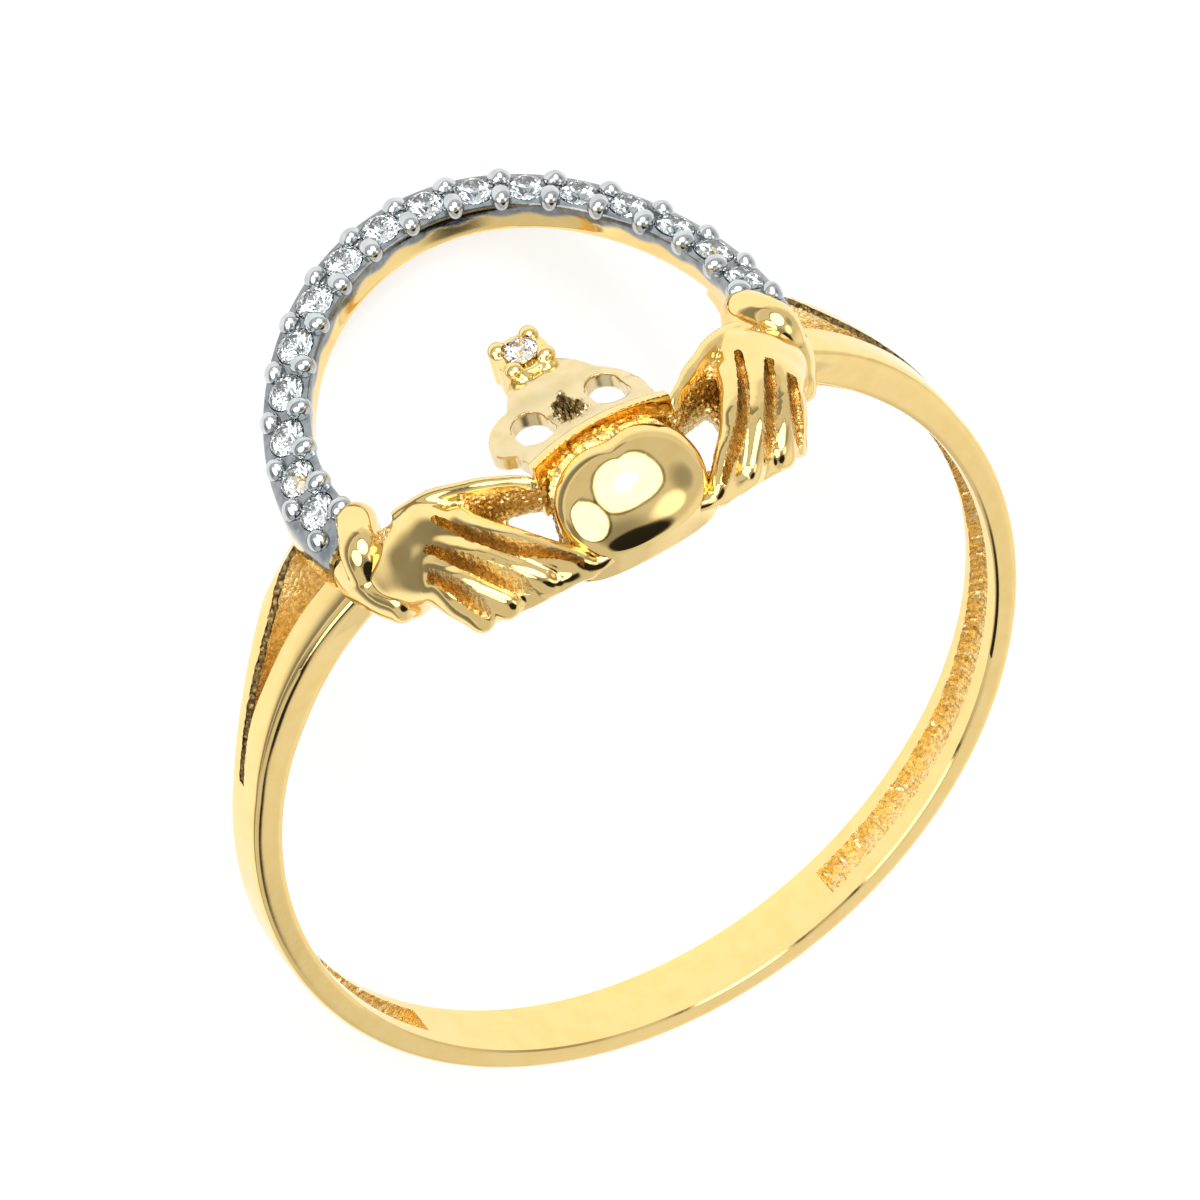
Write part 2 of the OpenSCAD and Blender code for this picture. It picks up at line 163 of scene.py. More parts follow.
def only(piece: bpy.types.Object) -> bpy.types.Object:
    """Selects one piece alone and makes it active.

    Args:
        piece: The piece.

    Returns:
        The same piece.
    """
    bpy.ops.object.select_all(action="DESELECT")
    piece.select_set(True)
    bpy.context.view_layer.objects.active = piece
    return piece


def added(name: str) -> bpy.types.Object:
    """Names the primitive that was just added and applies its place.

    Args:
        name: The piece's name.

    Returns:
        The piece.
    """
    piece = only(bpy.context.object)
    piece.name = piece.data.name = name
    bpy.ops.object.transform_apply(location=True, rotation=True, scale=True)
    return piece


def ball(name: str, segments: int, rings: int, radius: float = 1.0,
         at: Sequence[float] = (0, 0, 0)) -> bpy.types.Object:
    """Adds a ball, upright and round."""
    bpy.ops.mesh.primitive_uv_sphere_add(segments=segments, ring_count=rings, radius=radius, location=at)
    return added(name)


def rod(name: str, sides: int, radius: float, depth: float, at: Sequence[float] = (0, 0, 0),
        turn: Sequence[float] = (0, 0, 0)) -> bpy.types.Object:
    """Adds a round rod, upright unless it is turned."""
    bpy.ops.mesh.primitive_cylinder_add(vertices=sides, radius=radius, depth=depth, location=at,
                                        rotation=turn)
    return added(name)


def shaped(piece: bpy.types.Object, move: Callable[[Vector], Vector]) -> bpy.types.Object:
    """Moves every point of a piece.

    Args:
        piece: The piece.
        move: Gives each point its new place.

    Returns:
        The same piece.
    """
    for v in piece.data.vertices:
        v.co = move(v.co.copy())
    piece.data.update()
    return piece


def finished(piece: bpy.types.Object, kind: str, **settings: object) -> bpy.types.Object:
    """Gives a piece a modifier and applies it.

    Args:
        piece: The piece.
        kind: Blender's name of the modifier's type.
        **settings: Values of the modifier.

    Returns:
        The same piece.
    """
    only(piece)
    modifier = piece.modifiers.new(kind.title(), kind)
    for key, value in settings.items():
        setattr(modifier, key, value)
    bpy.ops.object.modifier_apply(modifier=modifier.name)
    return piece


def cut(piece: bpy.types.Object, cutter: bpy.types.Object, operation: str = "DIFFERENCE") -> bpy.types.Object:
    """Cuts one piece with another, which is used up; the cut keeps the cutter's finish.

    Args:
        piece: The piece that is cut.
        cutter: The piece that cuts it.
        operation: Blender's name of what is done.

    Returns:
        The piece, cut.
    """
    finished(piece, "BOOLEAN", object=cutter, operation=operation, solver="EXACT", material_mode="TRANSFER")
    bpy.data.objects.remove(cutter, do_unlink=True)
    return piece


def joined(pieces: Sequence[bpy.types.Object], name: str) -> bpy.types.Object:
    """Joins pieces into one object.

    Args:
        pieces: The pieces.
        name: The name of the whole.

    Returns:
        The joined piece.
    """
    only(pieces[0])
    for p in pieces[1:]:
        p.select_set(True)
    bpy.ops.object.join()
    pieces[0].name = pieces[0].data.name = name
    return pieces[0]


def melted(piece: bpy.types.Object, grain: float, rounds: int) -> bpy.types.Object:
    """Fuses the shells of a piece into one smooth skin.

    Args:
        piece: Overlapping closed shells.
        grain: Size of the new faces, in millimetres.
        rounds: How often the skin is smoothed.

    Returns:
        The same piece.
    """
    finished(piece, "REMESH", mode="VOXEL", voxel_size=grain, adaptivity=0.0, use_smooth_shade=True)
    return finished(piece, "SMOOTH", factor=0.5, iterations=rounds)


def mirrored(piece: bpy.types.Object, name: str) -> bpy.types.Object:
    """Copies a piece, with a mesh of its own, to the other side of the finger.

    Args:
        piece: The piece.
        name: The copy's name.

    Returns:
        The copy.
    """
    other = piece.copy()
    other.data = piece.data.copy()
    bpy.context.collection.objects.link(other)
    other.name = other.data.name = name
    other.data.transform(Matrix.Scale(-1, 4, (1, 0, 0)))
    other.data.flip_normals()
    return other


def masked(piece: bpy.types.Object, mask: str, share: Callable[[Vector], float],
           depth: float = 0.0) -> bpy.types.Object:
    """Writes how much of a second finish each point of a piece has.

    Args:
        piece: The piece.
        mask: Name of the attribute that the finish reads.
        share: Gives each point its share, from 0 to 1.
        depth: How far points with a full share are roughened, in millimetres.

    Returns:
        The same piece.
    """
    if mask not in piece.data.attributes:
        piece.data.attributes.new(mask, "FLOAT", "POINT")
    piece.data.attributes[mask].data.foreach_set("value", [share(v.co) for v in piece.data.vertices])
    piece.data.update()
    return roughened(piece, depth, BUMP, 0, share) if depth > 0 else piece


def eased(low: float, high: float, at: float) -> float:
    """A smooth step from 0 at low to 1 at high.

    Args:
        low: Where the step begins.
        high: Where it ends.
        at: Where it is read.

    Returns:
        The step's value.
    """
    t = max(0.0, min(1.0, (at - low) / (high - low)))
    return t * t * (3 - 2 * t)


def facing_out(piece: bpy.types.Object) -> bpy.types.Object:
    """Merges a piece's doubled points and turns its faces outwards.

    Args:
        piece: The piece.

    Returns:
        The same piece.
    """
    only(piece)
    bpy.ops.object.mode_set(mode="EDIT")
    bpy.ops.mesh.select_all(action="SELECT")
    bpy.ops.mesh.remove_doubles(threshold=1e-5)
    bpy.ops.mesh.normals_make_consistent(inside=False)
    bpy.ops.object.mode_set(mode="OBJECT")
    return piece


def prism(name: str, outline: Sequence[tuple[float, float]], low: float, high: float,
          place: Callable[[float, float, float], Point]) -> bpy.types.Object:
    """Extrudes an outline.

    Args:
        name: The piece's name.
        outline: Its corners in turn.
        low: Where the extrusion begins.
        high: Where it ends.
        place: Turns two coordinates of the outline and a depth into a point.

    Returns:
        The closed piece.
    """
    bpy.ops.mesh.primitive_circle_add(vertices=len(outline), radius=1, fill_type="NGON")
    piece = added(name)
    for v, (a, b) in zip(piece.data.vertices, outline):
        v.co = (a, b, 0)
    bpy.ops.object.mode_set(mode="EDIT")
    bpy.ops.mesh.select_all(action="SELECT")
    bpy.ops.mesh.extrude_region_move(TRANSFORM_OT_translate={"value": (0, 0, 1)})
    bpy.ops.object.mode_set(mode="OBJECT")
    shaped(piece, lambda p: Vector(place(p.x, p.y, low + (high - low) * p.z)))
    return facing_out(piece)


def spun(name: str, sides: int, at: float, size: float, start: float, turn: float, steps: int,
         upright: bool = False) -> bpy.types.Object:
    """Spins a small circle into a round bar, about the finger or upright about z.

    Args:
        name: The piece's name.
        sides: Points of the circle.
        at: Radius at which the circle is spun.
        size: Radius of the circle.
        start: Angle of its first place, in degrees.
        turn: Angle through which it is spun, in degrees.
        steps: Number of steps.
        upright: Whether it turns about z, from x, and not about y, from below.

    Returns:
        The bar, closed at its ends.
    """
    whole, half = turn > 359, turn > 180
    bpy.ops.mesh.primitive_circle_add(vertices=sides, radius=size, rotation=(math.pi / 2, 0, 0),
                                      location=(at, 0, 0))
    piece = added(name)
    bpy.ops.object.mode_set(mode="EDIT")
    bpy.ops.mesh.select_all(action="SELECT")
    bpy.ops.mesh.spin(steps=steps, angle=math.radians(turn), center=(0, 0, 0), axis=(0, 0, 1))
    bpy.ops.mesh.select_all(action="SELECT")
    bpy.ops.mesh.remove_doubles(threshold=1e-6)
    if not whole:
        bpy.ops.mesh.fill_holes(sides=0)
    bpy.ops.object.mode_set(mode="OBJECT")
    middle = sum((v.co for v in piece.data.vertices), Vector()) / len(piece.data.vertices)
    way = 1 if whole or middle.y > 0 or half and middle.x < 0 and middle.y > -1e-6 else -1
    first = math.radians(start)

    def place(p: Vector) -> Vector:
        """Turns a spun point to its start angle and, round the finger, on to its side.

        Args:
            p: The spun point.

        Returns:
            Its place.
        """
        angle = way * math.atan2(p.y, p.x) % math.tau + first
        r = math.hypot(p.x, p.y)
        if upright:
            return Vector((r * math.cos(angle), r * math.sin(angle), p.z))
        return Vector((r * math.sin(angle), p.z, -r * math.cos(angle)))

    return facing_out(shaped(piece, place))


def roughened(piece: bpy.types.Object, depth: float, grain: float, seed: int,
              share: Callable[[Vector], float] = lambda p: 1.0) -> bpy.types.Object:
    """Roughens a piece as cast metal is.

    Args:
        piece: A closed piece of small faces.
        depth: How far its points move in and out, in millimetres.
        grain: Size of the bumps, in millimetres.
        seed: Which noise is taken.
        share: Gives each point its share of the roughness.

    Returns:
        The same piece.
    """
    normals = [v.normal.copy() for v in piece.data.vertices]
    shift = Vector((seed * 17.3, seed * 5.1, seed * 9.7))
    for v, n in zip(piece.data.vertices, normals):
        v.co += n * depth * share(v.co) * noise.fractal(v.co / grain + shift, *FRACTAL)
    piece.data.update()
    return piece


def waved(piece: bpy.types.Object, depth: float, length: float, seed: int) -> bpy.types.Object:
    """Gives a piece the soft unevenness of hand-finished metal.

    Args:
        piece: A closed piece of small faces.
        depth: How far its points move in and out, in millimetres.
        length: Length of the waves, in millimetres.
        seed: Which noise is taken.

    Returns:
        The same piece.
    """
    normals = [v.normal.copy() for v in piece.data.vertices]
    shift = Vector((seed * 7.3, seed * 3.1, seed * 9.1))
    for v, n in zip(piece.data.vertices, normals):
        v.co += n * depth * noise.noise(v.co / length + shift)
    piece.data.update()
    return piece


def smooth(piece: bpy.types.Object, angle: float = 32) -> bpy.types.Object:
    """Shades a piece smooth, apart from edges sharper than the angle in degrees.

    Args:
        piece: The piece.
        angle: The angle.

    Returns:
        The same piece.
    """
    only(piece)
    bpy.ops.object.shade_smooth_by_angle(angle=math.radians(angle))
    return piece


def dressed(piece: bpy.types.Object, *finishes: bpy.types.Material) -> bpy.types.Object:
    """Gives a piece its finishes, all its faces the first one.

    Args:
        piece: The piece.
        *finishes: Its finishes.

    Returns:
        The same piece.
    """
    piece.data.materials.clear()
    for f in finishes:
        piece.data.materials.append(f)
    return piece


def laid(piece: bpy.types.Object, slot: Finish) -> bpy.types.Object:
    """Lays a finished piece down with the ring and hands it to the frame.

    Args:
        piece: The piece, in ring millimetres.
        slot: Its slot in the record; not used.

    Returns:
        The same piece.
    """
    piece.data.transform(Matrix.Scale(MM, 4) @ LAID)
    piece.data.update()
    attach(piece, "root")
    log.info("%s: %d faces", piece.name, len(piece.data.polygons))
    return piece


@dataclass(frozen=True)
class Metal:
    """A metal finish.

    Attributes:
        name: The finish's name.
        colour: Its colour.
        shade: Its colour in the hollows of its grain, darker there as a painted shade.
        roughness: How dull it is.
        spread: How much the dullness varies.
        grain: Size of its grain, in millimetres.
        relief: Depth of the grain's relief, as a share of the grain's size.
        stops: Where in its noise the shade ends and the colour begins.
        least: The least roughness that any metal has.
    """

    name: str
    colour: Point
    shade: Point
    roughness: float
    spread: float
    grain: float
    relief: float
    stops: tuple[float, float] = (0.3, 0.6)
    least: float = 0.02

    def parts(self, tree: bpy.types.NodeTree) -> tuple[bpy.types.NodeSocket, ...]:
        """Adds the finish's nodes.

        Args:
            tree: The material's nodes.

        Returns:
            Its colour, its roughness and the height of its relief.
        """
        nodes, links = tree.nodes, tree.links
        where = nodes.new("ShaderNodeTexCoord")
        size = nodes.new("ShaderNodeMapping")
        size.inputs["Scale"].default_value = (1 / (self.grain * MM),) * 3
        grain = nodes.new("ShaderNodeTexNoise")
        grain.inputs["Scale"].default_value = 1.0
        grain.inputs["Detail"].default_value = 4.0
        # Painted shade: where the noise lowers the relief, the colour turns to the darker shade.
        tone = nodes.new("ShaderNodeValToRGB")
        for stop, at, colour in zip(tone.color_ramp.elements, self.stops, (self.shade, self.colour)):
            stop.position, stop.color = at, (*colour, 1)
        dull = nodes.new("ShaderNodeMapRange")
        dull.inputs["To Min"].default_value = max(self.least, self.roughness - self.spread)
        dull.inputs["To Max"].default_value = self.roughness + self.spread
        height = nodes.new("ShaderNodeMapRange")
        height.inputs["To Max"].default_value = self.grain * MM * self.relief
        links.new(where.outputs["Object"], size.inputs["Vector"])
        links.new(size.outputs["Vector"], grain.inputs["Vector"])
        links.new(grain.outputs["Fac"], tone.inputs["Fac"])
        links.new(grain.outputs["Fac"], dull.inputs["Value"])
        links.new(grain.outputs["Fac"], height.inputs["Value"])
        return tone.outputs["Color"], dull.outputs["Result"], height.outputs["Result"]

    def made(self, other: "Metal | None" = None, mask: str = "") -> bpy.types.Material:
        """Builds the finish, with another one where a mask says so.

        Args:
            other: The other finish.
            mask: Name of the attribute that gives the other finish's share.

        Returns:
            The material.
        """
        material = bpy.data.materials.new(self.name)
        material.use_nodes = True
        tree = material.node_tree
        shader = tree.nodes["Principled BSDF"]
        shader.inputs["Metallic"].default_value = 1.0
        sockets = self.parts(tree)
        if other is not None:
            share = tree.nodes.new("ShaderNodeAttribute")
            share.attribute_name = mask
            blended = []
            for kind, one, two in zip(("RGBA", "FLOAT", "FLOAT"), sockets, other.parts(tree)):
                mix = tree.nodes.new("ShaderNodeMix")
                mix.data_type = kind
                # A mix node has sockets for every kind of value; these are the two inputs and the result.
                first, second, result = (6, 7, 2) if kind == "RGBA" else (2, 3, 0)
                tree.links.new(share.outputs["Fac"], mix.inputs[0])
                tree.links.new(one, mix.inputs[first])
                tree.links.new(two, mix.inputs[second])
                blended.append(mix.outputs[result])
            sockets = tuple(blended)
        bump = tree.nodes.new("ShaderNodeBump")
        bump.inputs["Strength"].default_value = 1.0
        bump.inputs["Distance"].default_value = 1.0
        tree.links.new(sockets[0], shader.inputs["Base Color"])
        tree.links.new(sockets[1], shader.inputs["Roughness"])
        tree.links.new(sockets[2], bump.inputs["Height"])
        tree.links.new(bump.outputs["Normal"], shader.inputs["Normal"])
        return material


@dataclass(frozen=True)
class Brilliance:
    """The finish of a colourless cut stone.

    Attributes:
        name: The finish's name.
        tint: Its faint colour.
        deep: That colour where it is deepest.
        index: Its index of refraction.
        fine: How fine the noise of its wear is, in waves a metre.
        dullest: Its greatest roughness.
    """

    name: str = "clear_stone"
    tint: Point = (0.82, 0.87, 0.89)
    deep: Point = (0.62, 0.68, 0.70)
    index: float = 2.3
    fine: float = 4000.0
    dullest: float = 0.01

    def made(self) -> bpy.types.Material:
        """Builds the finish.

        Returns:
            The material.
        """
        material = bpy.data.materials.new(self.name)
        material.use_nodes = True
        nodes, links = material.node_tree.nodes, material.node_tree.links
        shader = nodes["Principled BSDF"]
        shader.inputs["Transmission Weight"].default_value = 1.0
        shader.inputs["IOR"].default_value = self.index
        where = nodes.new("ShaderNodeTexCoord")
        lines = nodes.new("ShaderNodeTexNoise")
        lines.inputs["Scale"].default_value = self.fine
        wipe = nodes.new("ShaderNodeMapRange")
        wipe.inputs["To Min"].default_value = 0.0
        wipe.inputs["To Max"].default_value = self.dullest
        tone = nodes.new("ShaderNodeValToRGB")
        for stop, colour in zip(tone.color_ramp.elements, (self.deep, self.tint)):
            stop.color = (*colour, 1)
        links.new(where.outputs["Object"], lines.inputs["Vector"])
        links.new(lines.outputs["Fac"], wipe.inputs["Value"])
        links.new(lines.outputs["Fac"], tone.inputs["Fac"])
        links.new(wipe.outputs["Result"], shader.inputs["Roughness"])
        links.new(tone.outputs["Color"], shader.inputs["Base Color"])
        return material


@dataclass(frozen=True)
class Finishes:
    """All the finishes, built once.

    Attributes:
        polished: Yellow gold, rough as cast where the mask "rough" says so.
        satin: Duller yellow gold; where the mask "rough" says so it takes the crevice finish, a painted
            shade.
        cast: Rough yellow gold, as it left its mould.
        dark: The same rough gold darkened almost to black, a painted shade in deep crevices.
        white: The arc's bright beads.
        plated: Yellow gold, greyer where the mask "plating" says so.
        stone: The arc's stones.
        warm: The crown's stone.
    """

    polished: bpy.types.Material
    satin: bpy.types.Material
    cast: bpy.types.Material
    dark: bpy.types.Material
    white: bpy.types.Material
    plated: bpy.types.Material
    stone: bpy.types.Material
    warm: bpy.types.Material

    @classmethod
    def made(cls) -> "Finishes":
        """Builds each finish.

        Returns:
            The finishes.
        """
        gold = Metal("yellow_gold", (0.93, 0.69, 0.29), (0.90, 0.65, 0.25),
                     roughness=0.08, spread=0.03, grain=0.5, relief=0.004)
        satin = Metal("satin_gold", (0.80, 0.66, 0.38), (0.74, 0.59, 0.31),
                      roughness=0.2, spread=0.05, grain=0.4, relief=0.006)
        cast = Metal("cast_gold", (0.96, 0.76, 0.38), (0.60, 0.40, 0.14),
                     roughness=0.26, spread=0.12, grain=0.08, relief=0.35)
        # Rough gold darkened almost to black: painted shade in the cove and in the crown's hollow.
        dark = Metal("crevice_shade_gold", (0.34, 0.23, 0.09), (0.02, 0.015, 0.01),
                     roughness=0.35, spread=0.1, grain=0.1, relief=0.35)
        white = Metal("white_rhodium", (0.61, 0.64, 0.65), (0.47, 0.50, 0.51),
                      roughness=0.06, spread=0.03, grain=0.3, relief=0.01)
        grey = Metal("dark_rhodium", (0.31, 0.33, 0.345), (0.18, 0.20, 0.215),
                     roughness=0.12, spread=0.05, grain=0.2, relief=0.03)
        clear, warm = Brilliance(), Brilliance("warm_stone", (0.93, 0.86, 0.78), (0.80, 0.70, 0.60))
        return cls(polished=gold.made(cast, "rough"), satin=satin.made(dark, "rough"), cast=cast.made(),
                   dark=dark.made(), white=white.made(), plated=gold.made(grey, "plating"),
                   stone=clear.made(), warm=warm.made())


@dataclass
class Shank:
    """The band with its split shoulders and the channels inside it.

    Attributes:
        side_r: Radius of the hoop's outside; it lies side_up above the bore's middle.
        side_up: Lift of the hoop's middle.
        shoulder_r: Radius of the thicker shoulders' outside.
        shoulder_up: Lift of their middle.
        last: Angle from the bottom at which the arms end.
        rear_y: Where along the finger the rear arms begin to fall.
        rear_rise: Height of their outside above the bore there.
        rear_fall: How steeply it falls from there on.
        corners: How square the section is inside and outside.
        edges: Angle, front edge and rear edge as shares of the width.
        split: Angle, then the two sides of the split between the arms.
        channels: First and last angle of each channel.
        channel_hw: Half width of a channel.
        channel_depth: Its depth.
        channel_slope: How far its sides lean inwards.
        ribbon: Where a channel's rough ribbon ends and its smooth floor begins.
        blend: Half width of the change between them.
        cove_at: Middle angle of the cove along each split.
        cove_half: Half its angle.
        cove_r: Radius of its section.
    """

    side_r: float = 9.14
    side_up: float = 0.14
    shoulder_r: float = 8.957
    shoulder_up: float = 0.702
    last: float = 153.0
    rear_y: float = 0.45
    rear_rise: float = 1.3
    rear_fall: float = 0.5
    corners: tuple[float, float] = (14.0, 6.0)
    edges: Rows = (
        (0, -0.50, 0.50), (45, -0.50, 0.48), (75, -0.45, 0.41), (100, -0.40, 0.35),
        (114, -0.42, 0.37), (121, -0.46, 0.43), (128, -0.50, 0.57), (135, -0.57, 0.76),
        (142, -0.69, 0.98), (148, -0.80, 1.17), (153, -0.86, 1.27))
    split: Rows = (
        (113, 0.03, 0.035), (119, 0.03, 0.09), (124, 0.02, 0.15), (128, -0.02, 0.21),
        (132, -0.05, 0.28), (137, -0.08, 0.42), (142, -0.12, 0.62), (148, -0.20, 0.80),
        (156, -0.23, 0.90))
    channels: Rows = ((-112, -50), (21, 112))
    channel_hw: float = 0.42
    channel_depth: float = 0.28
    channel_slope: float = 0.08
    ribbon: float = -0.14
    blend: float = 0.05
    cove_at: float = 133
    cove_half: float = 21
    cove_r: float = 0.1

    def outside(self, angle: float, y: float) -> float:
        """Radius of the outside of the shank.

        Args:
            angle: Angle from the bottom, in radians.
            y: Place along the finger.

        Returns:
            The radius, in millimetres.
        """
        def hoop(r: float, up: float) -> float:
            """Radius of one of the two circles whose union is the outside."""
            return -up * math.cos(angle) + math.sqrt(r * r - (up * math.sin(angle)) ** 2)

        r = max(hoop(self.side_r, self.side_up), hoop(self.shoulder_r, self.shoulder_up))
        fall = BAND.bore_r + self.rear_rise - self.rear_fall * max(0.0, y - self.rear_y)
        return min(r, fall)

    def edge(self, angle: float, r: float, column: int, rows: Rows) -> float:
        """Place of an edge along the finger, read at the height of a point."""
        height = max(-1.0, min(1.0, r * math.cos(angle) / BAND.edge_r))
        return BAND.width * table(rows, math.degrees(math.acos(height)), column)

    def bar(self) -> bpy.types.Object:
        """Spins the solid bar and shapes its section along its length.

        Returns:
            The shank without its cuts.
        """
        at = 9.0
        bar = spun("shank", sides=56, at=at, size=0.25, start=-self.last, turn=2 * self.last, steps=330)

        def shape(p: Vector) -> Vector:
            """Gives a point of the round bar its place in the real section.

            Args:
                p: A point of the round bar.

            Returns:
                Its new place.
            """
            r = math.hypot(p.x, p.z)
            angle = math.atan2(p.x, -p.z)
            turn = math.atan2((r - at), p.y)
            a, b = squarish(turn, self.corners[r > at])
            b_share = 0.5 + 0.5 * b
            rough_r = BAND.bore_r + b_share * (self.outside(angle, 0) - BAND.bore_r)
            front = self.edge(angle, rough_r, 1, self.edges)
            rear = self.edge(angle, rough_r, 2, self.edges)
            y = (front + rear) / 2 + a * (rear - front) / 2
            out = self.outside(angle, y)
            new = BAND.bore_r + b_share * (out - BAND.bore_r)
            return Vector((new * math.sin(angle), y, -new * math.cos(angle)))

        return shaped(bar, shape)

    def splitter(self) -> bpy.types.Object:
        """Builds the cutter that parts the front arms from the rear ones.

        Returns:
            The cutter.
        """
        rows, steps, past = self.split, 40, 11
        fine = [rows[0][0] + (rows[-1][0] - rows[0][0]) * k / steps for k in range(steps + 1)]
        front, rear = ([(BAND.width * table(rows, a, side), -BAND.edge_r * math.cos(math.radians(a)))
                        for a in fine] for side in (1, 2))
        return prism("split", front + rear[::-1], -past, past, lambda a, b, d: (d, a, b))

    def channel(self, first: float, last: float) -> bpy.types.Object:
        """Builds the cutter of one channel inside the band.

        Args:
            first: Its first angle from the bottom, in degrees.
            last: Its last one.

        Returns:
            The cutter.
        """
        at, inside, square = 8.4, 0.3, 12.0
        piece = spun("channel", sides=24, at=at, size=0.2, start=first, turn=last - first,
                     steps=int((last - first) * 4))

        def shape(p: Vector) -> Vector:
            """Makes the round bar a flat-bottomed channel with sloping sides.

            Args:
                p: A point of the round bar.

            Returns:
                Its new place.
            """
            r = math.hypot(p.x, p.z)
            angle = math.atan2(p.x, -p.z)
            a, b = squarish(math.atan2(r - at, p.y), square)
            depth = 0.5 + 0.5 * b
            new = BAND.bore_r - inside + depth * (inside + self.channel_depth)
            y = a * (self.channel_hw - self.channel_slope * depth)
            return Vector((new * math.sin(angle), y, -new * math.cos(angle)))

        return roughened(shaped(piece, shape), depth=0.05, grain=0.11, seed=3,
                         share=lambda p: eased(self.ribbon - self.blend, self.ribbon + self.blend, p.y))

    def cove(self, side: int) -> bpy.types.Object:
        """Builds the cutter that hollows the outer edge of a rear arm along the split.

        Args:
            side: -1 or 1, the side of the ring.

        Returns:
            The cutter.
        """
        at = 9.1
        piece = spun("cove", sides=16, at=at, size=self.cove_r, start=side * self.cove_at - self.cove_half,
                     turn=2 * self.cove_half, steps=200)

        def shape(p: Vector) -> Vector:
            """Lays the bar along the edge of the split.

            Args:
                p: A point of the round bar.

            Returns:
                Its new place.
            """
            angle = math.atan2(p.x, -p.z)
            edge_y = self.edge(angle, self.outside(angle, 0.5), 2, self.split)
            r = self.outside(angle, edge_y) + math.hypot(p.x, p.z) - at
            return Vector((r * math.sin(angle), edge_y + p.y, -r * math.cos(angle)))

        return roughened(shaped(piece, shape), depth=0.035, grain=0.12, seed=31 + side)

    def build(self, f: Finishes) -> bpy.types.Object:
        """Builds, cuts and dresses the shank.

        Args:
            f: The ring's finishes.

        Returns:
            The finished piece.
        """
        piece = dressed(self.bar(), f.polished)
        cut(piece, dressed(self.splitter(), f.cast))
        # Each cove takes the crevice finish: a painted shade along the split.
        for side in (-1, 1):
            cut(piece, dressed(self.cove(side), f.dark))
        for first, last in self.channels:
            tool = dressed(self.channel(first, last), f.cast, f.polished)
            for face in tool.data.polygons:
                face.material_index = int(face.center.y < self.ribbon)
            cut(piece, tool)
        room = rod("arc_room", sides=128, radius=BAND.arc_r - BAND.overlap, depth=12, at=(0, BAND.arc_y, 10))
        cut(piece, dressed(room, f.polished))
        return laid(smooth(piece), Finish.GOLD)


